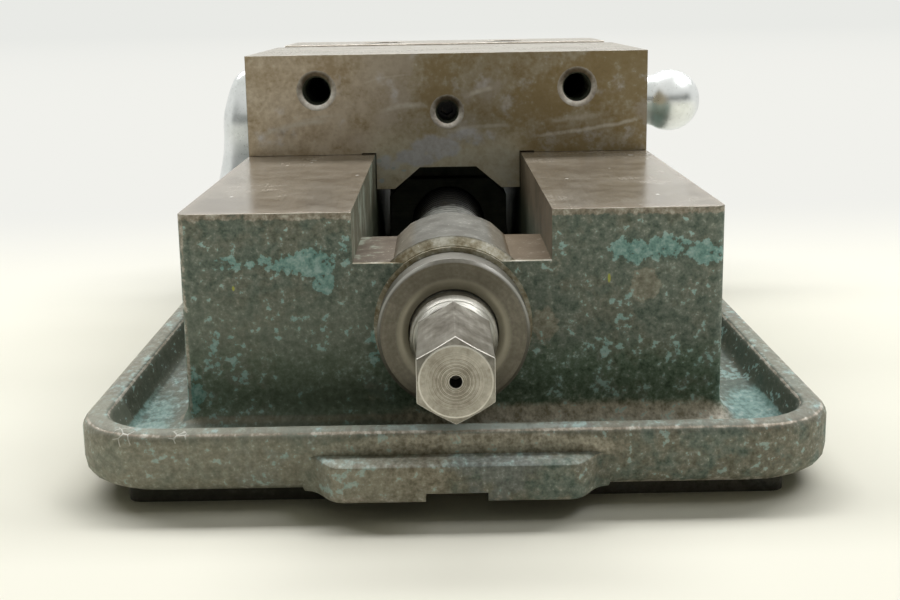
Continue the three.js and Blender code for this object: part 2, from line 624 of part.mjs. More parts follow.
function halfBall(radius, gap) {
  const dome = [[0, 0], ...arc([0, 0], radius, 0, 90, 8)];
  const body = new THREE.LatheGeometry(dome.map(([r, y]) => new THREE.Vector2(Math.max(r, 0), y)), 28);
  const lean = new THREE.Matrix4().makeRotationX(-LOCK_ANGLE);
  const [y, z] = [leaningFace(LOCK_POINT[1], gap), LOCK_POINT[1]];
  return solid(body.applyMatrix4(lean).translate(0, y, z));
}

function movableJaw() {
  const halfTongue = HALF_SLOT - FIT;
  const tongueBottom = BED_HEIGHT - TONGUE_DEPTH;
  const reliefEdge = halfTongue + RELIEF_WIDTH;
  const reliefTop = BED_HEIGHT + RELIEF_HEIGHT;
  const right = [[HALF_WIDTH, JAW_TOP], [HALF_WIDTH, BED_HEIGHT], [reliefEdge, BED_HEIGHT],
    [reliefEdge, reliefTop], [halfTongue, reliefTop], [halfTongue, tongueBottom],
    [ARCH_BOTTOM_WIDTH / 2, tongueBottom], [ARCH_TOP_WIDTH / 2, BED_HEIGHT - ARCH_DEPTH]];
  const left = [...right].reverse().map(([x, z]) => [-x, z]);
  const body = prismAlongY(polygon([...right, ...left]), JAW_BACK, JAW_FRONT);
  const cavityHalf = NUT_HEAD_HALF_WIDTH + CAVITY_SIDE_GAP;
  const cavityFoot = tongueBottom - OVERRUN;
  const cavityTop = BED_HEIGHT + CAVITY_ROOF;
  const cavity = prismAlongX(polygon([[NUT_REAR, cavityFoot], [leaningFace(cavityFoot, SEAT_GAP), cavityFoot],
    [leaningFace(cavityTop, SEAT_GAP), cavityTop], [NUT_REAR, cavityTop]]), -cavityHalf, cavityHalf);
  const socket = halfBall(SEGMENT_RADIUS + 2 * FIT, FIT);
  const screwPlace = [0, 0, BED_HEIGHT + JAW_SCREW_HEIGHT];
  return cut(body, cavity, socket,
    rod(JAW_SCREW_RADIUS, JAW_BACK - OVERRUN, NUT_REAR + OVERRUN, 'y', screwPlace, 20),
    countersink(JAW_SCREW_RADIUS, TAPPED_CHAMFER, JAW_BACK, -1, 'y', screwPlace, 20),
    ...tappedHoles(JAW_BACK, JAW_FRONT, JAW_BACK, -1));
}

function lockNut() {
  const bodyTop = BED_HEIGHT - TONGUE_DEPTH - RUNNING_GAP;
  const c = NUT_CORNER;
  const section = polygon([[-NUT_HALF_WIDTH + c, NUT_BOTTOM], [NUT_HALF_WIDTH - c, NUT_BOTTOM],
    [NUT_HALF_WIDTH, NUT_BOTTOM + c], [NUT_HALF_WIDTH, bodyTop - c], [NUT_HALF_WIDTH - c, bodyTop],
    [-NUT_HALF_WIDTH + c, bodyTop], [-NUT_HALF_WIDTH, bodyTop - c], [-NUT_HALF_WIDTH, NUT_BOTTOM + c]]);
  const body = prismAlongY(section, NUT_REAR, NUT_REAR + NUT_LENGTH);
  const headBack = NUT_REAR + NUT_HEAD_BACK_INSET;
  const headTop = BED_HEIGHT + NUT_HEAD_TOP;
  const head = prismAlongX(polygon([[headBack, bodyTop - c], [leaningFace(bodyTop - c, 0), bodyTop - c],
    [leaningFace(headTop, 0), headTop], [headBack, headTop]]), -NUT_HEAD_HALF_WIDTH, NUT_HEAD_HALF_WIDTH);
  const thread = rod(THREAD_RADIUS + FIT, NUT_REAR - OVERRUN, NUT_REAR + NUT_LENGTH + OVERRUN,
    'y', [0, 0, AXIS_Z], 32);
  return cut(union(body, head), thread);
}

addPiece('movable_jaw', movableJaw(), brownSteel());
addPiece('movable_jaw_plate', plate(JAW_FRONT + PLATE_THICKNESS, JAW_FRONT), groundSteel());
addPlateScrews('movable_plate', JAW_FRONT + PLATE_THICKNESS, -1);
addPiece('lock_nut', lockNut(), darkSteel());
addPiece('lock_half_ball', halfBall(SEGMENT_RADIUS, FIT), brightSteel());

// Set screw behind the nut's head, which takes up the slack between nut and jaw
function jawSetScrew() {
  const tip = NUT_REAR + NUT_HEAD_BACK_INSET - FIT;
  const radius = JAW_SCREW_RADIUS - FIT;
  const start = tip - JAW_SCREW_LENGTH;
  const profile = [[0, start], [radius, start], [radius, tip - SHANK_CHAMFER], [radius - SHANK_CHAMFER, tip],
    [0, tip]];
  const place = [0, 0, BED_HEIGHT + JAW_SCREW_HEIGHT];
  const socket = prismAlongY(hexagon(2 * radius * HEAD_SOCKET_SHARE, 0, place[2]), start - OVERRUN,
    start + SOCKET_DEPTH);
  return cut(turned(profile, 'y', place, 20), socket);
}

addPiece('jaw_set_screw', jawSetScrew(), blackScrew());

// Lead screw: hexagon, shank, thrust shoulder, thread and ring groove
function leadScrew() {
  const axisPoint = [0, 0, AXIS_Z];
  const hexFront = FRONT - HEX_FRONT_REACH;
  const shankFront = FRONT - SHANK_FRONT_REACH;
  const corner = HEX_ACROSS_FLATS / Math.sqrt(3);
  const hexBar = prismAlongY(hexagon(HEX_ACROSS_FLATS, 0, AXIS_Z), hexFront, shankFront + SHANK_RADIUS);
  const hexTurned = turned([[0, hexFront], [HEX_FACE_RADIUS, hexFront], [corner, hexFront + HEX_CHAMFER],
    [corner, shankFront + SHANK_RADIUS], [0, shankFront + SHANK_RADIUS]], 'y', axisPoint, 36);
  const shoulderEnd = RACE_REAR_FACE + SHOULDER_LENGTH;
  const ringY = SCREW_TAIL - RING_TO_TAIL;
  const stem = turned([
    [0, shankFront], [SHANK_RADIUS - SHANK_CHAMFER, shankFront], [SHANK_RADIUS, shankFront + SHANK_CHAMFER],
    [SHANK_RADIUS, RACE_REAR_FACE], [SHOULDER_RADIUS, RACE_REAR_FACE], [SHOULDER_RADIUS, shoulderEnd],
    [THREAD_RADIUS, shoulderEnd], [THREAD_RADIUS, ringY - FIT], [RING_GROOVE_RADIUS, ringY - FIT],
    [RING_GROOVE_RADIUS, ringY + RING_THICKNESS + FIT], [THREAD_RADIUS, ringY + RING_THICKNESS + FIT],
    [THREAD_RADIUS, SCREW_TAIL - SHANK_CHAMFER], [THREAD_RADIUS - SHANK_CHAMFER, SCREW_TAIL], [0, SCREW_TAIL],
  ], 'y', axisPoint, 36);
  const centre = rod(CENTRE_HOLE_RADIUS, hexFront - OVERRUN, hexFront + CENTRE_HOLE_DEPTH, 'y', axisPoint, 12);
  return cut(union(hexBar.intersect(hexTurned), stem), centre);
}

addPiece('lead_screw', leadScrew(), brightSteel());

// Stop ring: a spring ring with a mouth, in the groove near the screw's tail
function stopRing() {
  const inner = RING_GROOVE_RADIUS + FIT;
  const mouth = Math.PI / 2;
  const shape = new THREE.Shape();
  shape.absarc(0, AXIS_Z, RING_RADIUS, mouth + RING_MOUTH_HALF_ANGLE,
    mouth - RING_MOUTH_HALF_ANGLE + 2 * Math.PI, false);
  shape.absarc(0, AXIS_Z, inner, mouth - RING_MOUTH_HALF_ANGLE + 2 * Math.PI,
    mouth + RING_MOUTH_HALF_ANGLE, true);
  const start = SCREW_TAIL - RING_TO_TAIL;
  return prismAlongY(shape, start, start + RING_THICKNESS, 28);
}

addPiece('screw_stop_ring', stopRing(), darkSteel());

// Front collar with its grub screw, and the bronze bush in the front wall
const COLLAR_BACK = FRONT - SPOT_FACE_HEIGHT - FIT;
const COLLAR_FRONT = COLLAR_BACK - COLLAR_LENGTH;
const GRUB_Y = (COLLAR_FRONT + COLLAR_BACK) / 2;

function frontCollar() {
  const bore = SHAFT_BORE;
  const section = [
    [bore, COLLAR_BACK], [COLLAR_RADIUS, COLLAR_BACK], [COLLAR_RADIUS, COLLAR_FRONT + COLLAR_CHAMFER],
    [COLLAR_RADIUS - COLLAR_CHAMFER, COLLAR_FRONT], [bore + COLLAR_DISH_WIDTH, COLLAR_FRONT],
    [bore, COLLAR_FRONT + COLLAR_DISH_DEPTH], [bore, COLLAR_BACK],
  ];
  const grubHole = rod(GRUB_RADIUS + FIT, AXIS_Z - COLLAR_RADIUS - OVERRUN, AXIS_Z - SHANK_RADIUS,
    'z', [0, GRUB_Y, 0], 12);
  return cut(turned(section, 'y', [0, 0, AXIS_Z], 48), grubHole);
}

addPiece('front_collar', frontCollar(), darkSteel());
addPiece('collar_grub_screw', rod(GRUB_RADIUS, AXIS_Z - COLLAR_RADIUS + SHANK_CHAMFER,
  AXIS_Z - SHANK_RADIUS - FIT, 'z', [0, GRUB_Y, 0], 12), blackScrew());
addPiece('screw_bush', ring(SHAFT_BORE, SHAFT_BORE + BUSH_WALL, FRONT + BUSH_INSET,
  FRONT + BUSH_INSET + BUSH_LENGTH, 'y', [0, 0, AXIS_Z], 40), bronze());

// Thrust bearing behind the front wall
const RACE_BORE = SHANK_RADIUS + RUNNING_GAP;

addPiece('thrust_race_front', ring(RACE_BORE, RACE_RADIUS, SLOT_FRONT, SLOT_FRONT + RACE_THICKNESS,
  'y', [0, 0, AXIS_Z], 36), brightSteel());
addPiece('thrust_race_rear', ring(RACE_BORE, RACE_RADIUS, RACE_REAR_FACE - RACE_THICKNESS, RACE_REAR_FACE,
  'y', [0, 0, AXIS_Z], 36), brightSteel());

const ROLLER_MIDDLE = (RACE_BORE + RACE_RADIUS) / 2;

function aroundScrew(piece, turn) {
  return piece.rotate([0, THREE.MathUtils.radToDeg(turn), 0]).translate([0, ROLLER_Y, AXIS_Z]);
}

function rollerTurns() {
  return Array.from({ length: ROLLER_COUNT }, (_, i) => (2 * Math.PI * i) / ROLLER_COUNT);
}

function rollerCage() {
  const cage = ring(RACE_BORE, RACE_RADIUS, ROLLER_Y - CAGE_THICKNESS / 2, ROLLER_Y + CAGE_THICKNESS / 2,
    'y', [0, 0, AXIS_Z], 36);
  const reach = ROLLER_LENGTH / 2 + FIT;
  const width = ROLLER_RADIUS + FIT;
  const window = block([ROLLER_MIDDLE - reach, ROLLER_MIDDLE + reach], [-CAGE_THICKNESS, CAGE_THICKNESS],
    [-width, width]);
  return cut(cage, ...rollerTurns().map((turn) => aroundScrew(window, turn)));
}

addPiece('roller_cage', rollerCage(), bronze());

const roller = rod(ROLLER_RADIUS, -ROLLER_LENGTH / 2, ROLLER_LENGTH / 2, 'x', [ROLLER_MIDDLE, 0, 0], 10);
rollerTurns().forEach((turn, i) => {
  addPiece(`thrust_roller_${String(i + 1).padStart(2, '0')}`, aroundScrew(roller, turn), brightSteel());
});

// Handle: a hub with a hexagon socket in its mouth, and an arm that ends in a ball
const HUB_X = -(HALF_WIDTH + HUB_SIDE_GAP + HUB_MOUTH_RADIUS);
const ARM_Y = FIXED_PLATE_FACE - ARM_TO_PLATE - ARM_RADIUS;
const ARM_Z = BED_HEIGHT + FIT + ARM_RADIUS;
const HUB_SHOULDER_X = HUB_X + ARM_SPIGOT_LENGTH - FIT;

// Bell curve of the hub: heights and radii as shares of the hub's own sizes, mouth first
const HUB_HEIGHT_SHARES = [0.31, 0.42, 0.5, 0.6, 0.7, 0.79, 0.86, 0.93, 0.975, 1];
const HUB_RADIUS_SHARES = [1.265, 1.12, 1.04, 1, 1, 0.86, 0.73, 0.5, 0.26, 0];

function handleHub() {
  const mouthZ = BED_HEIGHT + HUB_MOUTH;
  const height = HUB_TOP - HUB_MOUTH;
  const curve = HUB_HEIGHT_SHARES.map((share, i) => [
    Math.min(HUB_NECK_RADIUS * HUB_RADIUS_SHARES[i], HUB_MOUTH_RADIUS), mouthZ + height * share]);
  const profile = [[0, mouthZ], [HUB_MOUTH_RADIUS - SHANK_CHAMFER, mouthZ],
    [HUB_MOUTH_RADIUS, mouthZ + SHANK_CHAMFER], ...curve];
  const place = [HUB_X, ARM_Y, 0];
  const body = turned(profile, 'z', place, 32);
  const socket = prismAlongZ(hexagon(HEX_ACROSS_FLATS + 2 * HUB_SOCKET_GAP, HUB_X, ARM_Y),
    mouthZ - OVERRUN, mouthZ + HUB_SOCKET_DEPTH);
  const armPlace = [0, ARM_Y, ARM_Z];
  const spigotHole = rod(ARM_SPIGOT_RADIUS + FIT, HUB_X - FIT, HUB_SHOULDER_X, 'x', armPlace, 20);
  const shoulder = rod(ARM_RADIUS + FIT, HUB_SHOULDER_X - FIT, HUB_X + 2 * HUB_MOUTH_RADIUS, 'x', armPlace, 28);
  return cut(body, socket, spigotHole, shoulder);
}

function handleArm() {
  const ballX = HALF_WIDTH + BALL_FROM_JAW_END;
  const neckStart = ballX - BALL_RADIUS - NECK_LENGTH / 2;
  const meet = THREE.MathUtils.radToDeg(Math.asin(NECK_RADIUS / BALL_RADIUS));
  const ball = arc([0, 0], BALL_RADIUS, HALF_TURN - meet, 0, 9).map(([along, radius]) => [
    Math.max(radius, 0), ballX + along]);
  ball[ball.length - 1][0] = 0;
  const profile = [[0, HUB_X], [ARM_SPIGOT_RADIUS, HUB_X], [ARM_SPIGOT_RADIUS, HUB_SHOULDER_X],
    [ARM_RADIUS, HUB_SHOULDER_X], [ARM_RADIUS, neckStart], ...ball];
  return turned(profile, 'x', [0, ARM_Y, ARM_Z], 28);
}

addPiece('handle_hub', handleHub(), chrome());
addPiece('handle_arm', handleArm(), chrome());

export default vise;
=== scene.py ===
# Looks of a six inch milling machine vise: worn painted iron, ground and brown steel, chrome handle.
# The frame is the CAD's: +X right, +Y to the fixed jaw, +Z up. Lengths are millimetres, which become
# metres where a mesh is made or read.
import json
import math
from functools import reduce

import bmesh
import bpy
from mathutils import Matrix, Vector


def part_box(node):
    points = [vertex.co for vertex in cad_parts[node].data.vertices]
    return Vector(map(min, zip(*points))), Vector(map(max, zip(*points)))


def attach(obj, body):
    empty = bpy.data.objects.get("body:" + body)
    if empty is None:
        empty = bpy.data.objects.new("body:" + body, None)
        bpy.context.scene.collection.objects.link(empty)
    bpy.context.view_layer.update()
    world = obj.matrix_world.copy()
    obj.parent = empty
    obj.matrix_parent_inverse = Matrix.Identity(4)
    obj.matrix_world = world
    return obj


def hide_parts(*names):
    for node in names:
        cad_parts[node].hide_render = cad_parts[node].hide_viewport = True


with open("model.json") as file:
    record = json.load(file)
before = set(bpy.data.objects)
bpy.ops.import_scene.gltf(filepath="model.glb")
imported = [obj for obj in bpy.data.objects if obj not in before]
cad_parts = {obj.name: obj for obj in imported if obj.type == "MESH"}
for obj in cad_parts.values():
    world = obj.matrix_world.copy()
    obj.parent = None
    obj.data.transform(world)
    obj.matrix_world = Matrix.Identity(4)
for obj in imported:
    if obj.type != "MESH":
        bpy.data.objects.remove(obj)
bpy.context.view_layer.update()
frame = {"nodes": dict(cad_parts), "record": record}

MM = 0.001
NODES = frame["nodes"]
BODIES = frame["record"]["behaviour"]["bodies"]
NODE_SLOT = {part["node"]: part["material_slot"] for part in frame["record"]["subparts"]}


# Boxes and places that the frame gives
def low(node):
    return Vector(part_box(node)[0]) / MM


def high(node):
    return Vector(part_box(node)[1]) / MM


def centre(node):
    return (low(node) + high(node)) / 2


BED_TOP = low("movable_jaw_plate").z - 0.5
HALF_WIDTH = high("movable_jaw").x
JAW_BACK = low("movable_jaw").y
JAW_TOP = high("movable_jaw").z
FIXED_BACK = high("fixed_jaw").y
AXIS = Vector((0, 0, centre("front_collar").z))
COLLAR_FRONT = low("front_collar").y
BED_FRONT = high("front_collar").y + 1.3
WALL_BACK = low("thrust_race_front").y
SHANK_FRONT = BED_FRONT - 17
HALF_SLOT = 27.85
SILL = AXIS.z + 17.8
LUG_TOP = 15
BALL, ARM, NECK = 14.3, 9.7, 11.9
SCREW_PITCH, JAW_PITCH = 5.08, 1.95
# Holes in the jaws' backs as x, height over the ways and reach; the third is in the movable jaw only
HOLES = ((-49.5, 24.5, 6.6), (49.5, 24.5, 6.6), (0, 15.8, 5.6))


def tint(*colour):
    """A colour as linear numbers from the usual 0 to 255 ones, with a cover of 1."""
    return (*(c / 255 / 12.92 if c <= 10 else ((c / 255 + 0.055) / 1.055) ** 2.4 for c in colour), 1)


# Shader maths as expressions
class Field:
    """A number that changes over a surface."""

    def __init__(self, tree, socket):
        self.tree = tree
        self.socket = socket

    def maths(self, operation, *others):
        node = self.tree.node("ShaderNodeMath", {"operation": operation},
                              **{f"in{i}": value for i, value in enumerate((self, *others))})
        return Field(self.tree, node.outputs[0])

    def __add__(self, other):
        return self.maths("ADD", other)

    def __sub__(self, other):
        return self.maths("SUBTRACT", other)

    def __rsub__(self, other):
        return (self * -1.0).maths("ADD", other)

    def __mul__(self, other):
        return self.maths("MULTIPLY", other)

    __radd__, __rmul__ = __add__, __mul__

    def __abs__(self):
        return self.maths("ABSOLUTE")

    def power(self, exponent):
        return self.maths("POWER", exponent)

    def least(self, other):
        return self.maths("MINIMUM", other)

    def most(self, other):
        return self.maths("MAXIMUM", other)

    def rise(self, start, end):
        """0 at start, 1 at end, smooth between and held outside; start may lie above end."""
        node = self.tree.node("ShaderNodeMapRange", {"interpolation_type": "SMOOTHSTEP"},
                              in0=self, in1=start, in2=end)
        return Field(self.tree, node.outputs[0])

    def near(self, place, reach):
        """1 at a place, 0 from a reach on both sides of it."""
        return abs(self - place).rise(reach, 0.0)


class Tree:
    """A node tree, with one method that makes any node."""

    def __init__(self, node_tree):
        self.nodes = node_tree.nodes
        self.links = node_tree.links

    def node(self, kind, settings=None, **values):
        """A node with its settings made first; a value named in0, in1... goes to that input."""
        node = self.nodes.new(kind)
        for key, value in (settings or {}).items():
            if key == "stops":
                self.set_stops(node.color_ramp, value)
            else:
                setattr(node, key, value)
        for key, value in values.items():
            socket = node.inputs[int(key[2:])] if key[:2] == "in" and key[2:].isdigit() else node.inputs[key]
            value = value.socket if isinstance(value, Field) else value
            if isinstance(value, bpy.types.NodeSocket):
                self.links.new(value, socket)
            else:
                socket.default_value = value
        return node

    @staticmethod
    def set_stops(ramp, stops):
        while len(ramp.elements) < len(stops):
            ramp.elements.new(0.5)
        for element, (position, colour) in zip(ramp.elements, stops):
            element.position = position
            element.color = tint(*colour)

    def split(self, vector):
        axes = self.node("ShaderNodeSeparateXYZ", in0=vector)
        return [Field(self, output) for output in axes.outputs]

    def seen_directly(self):
        """1 for rays from the camera, from gloss and through glass."""
        ray = self.node("ShaderNodeLightPath").outputs
        kinds = ("Camera", "Glossy", "Transmission")
        return reduce(Field.most, [Field(self, ray[f"Is {kind} Ray"]) for kind in kinds])

    def mixed(self, share, first, second):
        """First colour where share is 0, second where it is 1."""
        first, second = (c if isinstance(c, bpy.types.NodeSocket) else tint(*c) for c in (first, second))
        return self.node("ShaderNodeMix", {"data_type": "RGBA"}, in0=share, in6=first, in7=second).outputs[2]

    def ramp(self, share, *stops):
        return self.node("ShaderNodeValToRGB", {"stops": stops}, in0=share).outputs[0]


class Finish(Tree):
    """A material on one Principled shader, with its patterns in object coordinates.

    Noise is laid in metres; x, y and z, and all that is measured from them, are millimetres."""

    def __init__(self, name, **constants):
        self.material = bpy.data.materials.new(name)
        self.material.use_nodes = True
        super().__init__(self.material.node_tree)
        self.colour = None
        self.shader = self.nodes["Principled BSDF"]
        for socket, value in constants.items():
            self.shader.inputs[socket.replace("_", " ")].default_value = value
        self.place = self.node("ShaderNodeTexCoord").outputs["Object"]
        self.x, self.y, self.z = self.split(self.moved(scale=(1 / MM,) * 3))
        self.nx, self.ny, self.nz = self.split(self.node("ShaderNodeNewGeometry").outputs["Normal"])

    def moved(self, offset=(0, 0, 0), scale=(1, 1, 1), turn=(0, 0, 0)):
        return self.node("ShaderNodeMapping", in0=self.place, in1=offset, in2=turn, in3=scale).outputs[0]

    def noise(self, scale, detail=4, roughness=0.6, offset=(0, 0, 0), stretch=(1, 1, 1), turn=(0, 0, 0)):
        where = self.moved(offset, stretch, turn)
        node = self.node("ShaderNodeTexNoise", Vector=where, Scale=scale, Detail=detail, Roughness=roughness)
        return Field(self, node.outputs["Fac"])

    def cracks(self, scale, offset):
        """Distance from the sides of random cells."""
        node = self.node("ShaderNodeTexVoronoi", {"feature": "DISTANCE_TO_EDGE"}, Vector=self.moved(offset),
                         Scale=scale)
        return Field(self, node.outputs["Distance"])

    def strokes(self, scale, narrow, offset, turn):
        """Sparse fine strokes along X, turned about the origin."""
        return self.noise(scale, 2, 0.5, offset, (1, narrow, narrow), turn).rise(0.66, 0.70)

    def outward(self):
        """Distance from the screw's axis."""
        up = self.z - AXIS.z
        return (self.x * self.x + up * up).power(0.5)

    def rings(self, out, scale, offset=0.0):
        """Uneven turned rings about the line that the distance is from."""
        along = self.node("ShaderNodeCombineXYZ", X=out, Y=offset / MM).outputs[0]
        node = self.node("ShaderNodeTexNoise", Vector=along, Scale=scale * MM, Detail=3, Roughness=0.6)
        return Field(self, node.outputs["Fac"])

    def blob(self, where, reach):
        """1 at a place and 0 at its reach along each axis, as a soft ellipsoid."""
        parts = [(axis - at) * (1 / size) for axis, at, size in zip((self.x, self.y, self.z), where, reach)]
        return (parts[0] * parts[0] + parts[1] * parts[1] + parts[2] * parts[2]).rise(1.0, 0.0)

    def blobs(self, y, depth, *places):
        """Several blobs on a face across Y, each as x, z, reach in x, reach in z and strength."""
        return reduce(Field.most, [self.blob((x, y, z), (wide, depth, tall)) * strength
                                   for x, z, wide, tall, strength in places])

    def lay(self, share, colour):
        """Another colour over the finish's own, as far as the share says."""
        self.colour = self.mixed(share, self.colour, colour)

    def done(self, rough, height, depth, strength, metal=None):
        """The material, once its colour, roughness, metal share and relief reach the shader."""
        relief = self.node("ShaderNodeBump", Height=height, Distance=depth * MM, Strength=strength)
        sockets = {"Base Color": self.colour, "Roughness": rough.socket, "Normal": relief.outputs[0]}
        if metal is not None:
            sockets["Metallic"] = metal.socket
        for name, source in sockets.items():
            self.links.new(source, self.shader.inputs[name])
        return self.material


def paint_finish():
    """Dark green-grey paint, clouded and worn to brown iron, with patches of an older turquoise coat, and
    painted shade and light low on the block and about the flange.
    """
    f = Finish("worn_paint", Specular_IOR_Level=0.3)
    long = (1, 0.5, 1)
    fine = f.noise(1500, 2, 0.5, (0.2, 0.7, 0.4), long)
    grit = f.noise(540, 4, 0.55, (0, 0, 0), long)
    blotch = f.noise(165, 5, 0.6, (0.3, 0.1, 0.2), long)
    stain = f.noise(75, 5, 0.6, (0.9, 0.6, 0.1), long)
    cloud = f.noise(30, 4, 0.55, (1.3, 0.4, 0.9))
    block = (abs(f.x).rise(78, 77) * f.y.rise(BED_FRONT - 1.4, BED_FRONT - 0.7)).most(f.z.rise(22.5, 24))
    flange = 1 - block
    front = f.y.rise(BED_FRONT + 2, BED_FRONT + 1)
    foot = f.z.rise(44, 18) * block
    brow = f.z.rise(62, 72)

    # One tone of grains and clouds for all coats
    tone = grit * 0.46 + blotch * 0.26 + fine * 0.20 + stain * 0.08
    f.colour = f.ramp(tone, (0.38, (88, 102, 92)), (0.46, (116, 128, 118)), (0.54, (142, 150, 139)),
                      (0.64, (174, 179, 168)))
    # Greener and darker low on the block: painted shade below the collar, broken up by stains
    deep = f.ramp(tone, (0.39, (72, 90, 73)), (0.50, (112, 131, 114)), (0.62, (154, 173, 160)))
    f.lay((foot + stain * 1.2 - 0.62).rise(0.0, 0.7) * foot.rise(0.0, 0.35), deep)
    blue = f.ramp(tone, (0.38, (90, 116, 112)), (0.50, (128, 152, 147)), (0.62, (168, 188, 184)))
    f.lay((stain * 0.6 + blotch * 0.4).rise(0.52, 0.62) * 0.65, blue)

    # Brown wear, in patches on the walls and over much of the flange, and a paler lower left on the front; on
    # the flange, painted shade in the trays and on the rim's inner walls, and painted light under the collar
    # and on the front rim
    brown = f.ramp(tone, (0.38, (102, 96, 79)), (0.5, (134, 128, 111)), (0.62, (168, 162, 146)))
    worn = cloud * 0.2 + stain * 0.4 + blotch * 0.4 + flange * 0.07 + brow * 0.04 - foot * 0.03
    f.lay(worn.rise(0.48, 0.59) * (0.5 + flange * 0.3), brown)
    dusty = f.blobs(BED_FRONT, 9, (54, 51, 7, 8, 1.1), (26, 41, 6, 8, 1.1), (29, 54, 8, 9, 0.6),
                    (-60, 47, 7, 6, 0.5), (-20, 66, 10, 4, 0.5), (34, 30, 8, 6, 0.5))
    f.lay((dusty * 0.9 + stain + grit * 0.8 - 1.45).rise(0.0, 0.25) * 0.7,
          f.ramp(tone, (0.40, (138, 132, 114)), (0.6, (192, 187, 172))))
    slate = f.ramp(tone, (0.40, (98, 108, 108)), (0.6, (150, 158, 156)))
    f.lay((cloud * 0.5 + blotch * 0.5).rise(0.52, 0.60) * flange * 0.6, slate)
    rust = (stain * 0.5 + grit * 0.5).rise(0.57, 0.62) * flange.most(0.35)
    f.lay(rust * 0.5, (122, 94, 64))
    middle = f.blob((4, BED_FRONT - 37, 16.4), (46, 9, 5)).power(0.5)
    left = f.x.rise(-20, -70).most(f.x.rise(2, -6) * f.z.rise(16.5, 15)) * 0.45
    f.lay(left * flange * (0.6 + stain).least(1.0),
          f.ramp(tone, (0.40, (128, 120, 102)), (0.6, (190, 182, 164))))
    # A pale patch on the flange's middle under the collar: worn paint, made paler as painted light against
    # the collar's shade
    f.lay((middle + blotch * 0.6 - 0.5).rise(0.0, 0.5) * flange * f.nz.rise(0.8, 0.5),
          f.ramp(tone, (0.42, (150, 142, 124)), (0.6, (226, 219, 202))))
    lug_left = f.y.rise(BED_FRONT - 44, BED_FRONT - 45.5) * f.x.rise(4, -8)
    f.lay(lug_left * 0.6, f.ramp(tone, (0.42, (134, 126, 106)), (0.6, (196, 188, 170))))
    # Tray floors darkened: painted shade
    f.lay(f.nz.rise(0.8, 0.95) * f.z.rise(15, 14) * flange * 0.5, (78, 94, 86))
    f.lay(f.z.rise(19.5, 21) * flange * 0.4, (158, 156, 144))
    # The rim's inner walls darkened: painted shade
    behind = f.ny.rise(0.25, 0.5) * f.y.rise(BED_FRONT - 15, BED_FRONT - 20)
    f.lay((f.nx * f.x).rise(-12, -45).most(behind) * flange * 0.7, (58, 68, 56))
    # A pale band in front of the wall's foot: worn paint, made paler still as painted light under the collar
    # and screw
    swept_and_lit = f.y.rise(BED_FRONT + 5, BED_FRONT - 1) * f.z.rise(20, 13.5) * f.x.rise(-34, 6)
    swept_and_lit = swept_and_lit * abs(f.x).rise(84, 70) * f.y.rise(BED_FRONT - 36, BED_FRONT - 32)
    f.lay((swept_and_lit + stain + grit * 0.5 - 0.85).rise(0.0, 0.6) * 0.95,
          f.ramp(tone, (0.40, (150, 141, 120)), (0.6, (240, 232, 216))))
    # A painted highlight along the middle of the front rim's top
    painted_rim_shine = f.blob((4, BED_FRONT - 33.5, 21), (34, 3.4, 2.4))
    f.lay((painted_rim_shine + blotch + grit - 1.25).rise(0.0, 0.5) * 0.5, (186, 198, 192))
    low_left = f.x.rise(-8, -30) * f.z.rise(56, 40) * front
    f.lay(low_left * 0.24, (176, 180, 164))

    # Older turquoise coat: ragged patches on the front, the trays, and here and there
    teal = f.blobs(
        BED_FRONT, 7, (-63, 59, 9, 3, 0.7), (-54, 59.5, 8, 3, 0.7), (-46, 58.5, 7, 4, 0.95),
        (-38, 59, 8, 6, 1.15), (-36, 53.5, 5, 5.5, 0.95), (-30, 62, 3, 6, 0.6), (50, 61, 8, 5.5, 1.1),
        (60, 61.5, 10, 4.6, 1.1), (71, 60, 8, 4.6, 1.05), (-21.5, 34, 3.0, 9, 0.8), (-42, 40, 12, 9, 0.2),
        (-74, 22, 4, 9, 0.85), (45, 36, 12, 10, 0.2), (66, 30, 10, 9, 0.2), (-66, 32, 8, 10, 0.2))
    trays = f.blob((89, BED_FRONT - 4, 13), (15, 46, 5)) * 1.1
    trays = trays.most(f.blob((-90, BED_FRONT - 6, 14), (15, 60, 5)) * 0.9)
    trays = trays.most(f.nz.rise(0.8, 0.95) * flange * 0.4) * f.nz.rise(0.3, 0.8)
    elsewhere = f.noise(15, 3, 0.5, (0.2, 0.9, 0.5)).rise(0.54, 0.66) * (1 - front) * (0.75 - flange * 0.35)
    elsewhere = elsewhere * f.y.rise(BED_FRONT - 40, BED_FRONT - 28)
    ragged = stain * 1.2 + blotch * 2.2 + grit * 2.6 - 3.0
    in_trays = (trays + ragged * 0.4 - 0.3).rise(0.0, 0.6)
    teal = (teal.most(elsewhere) + ragged * 1.2 - 0.45).rise(0.0, 0.16).most(in_trays)
    flecks = (blotch * 0.4 + fine * 0.3 + grit * 0.3).rise(0.55, 0.61) * (0.16 + foot * 0.14)
    coat = f.ramp(tone, (0.40, (100, 146, 142)), (0.5, (146, 190, 186)), (0.60, (190, 222, 220)))
    f.lay(teal.most(flecks) * (0.85 - flange * 0.3), coat)

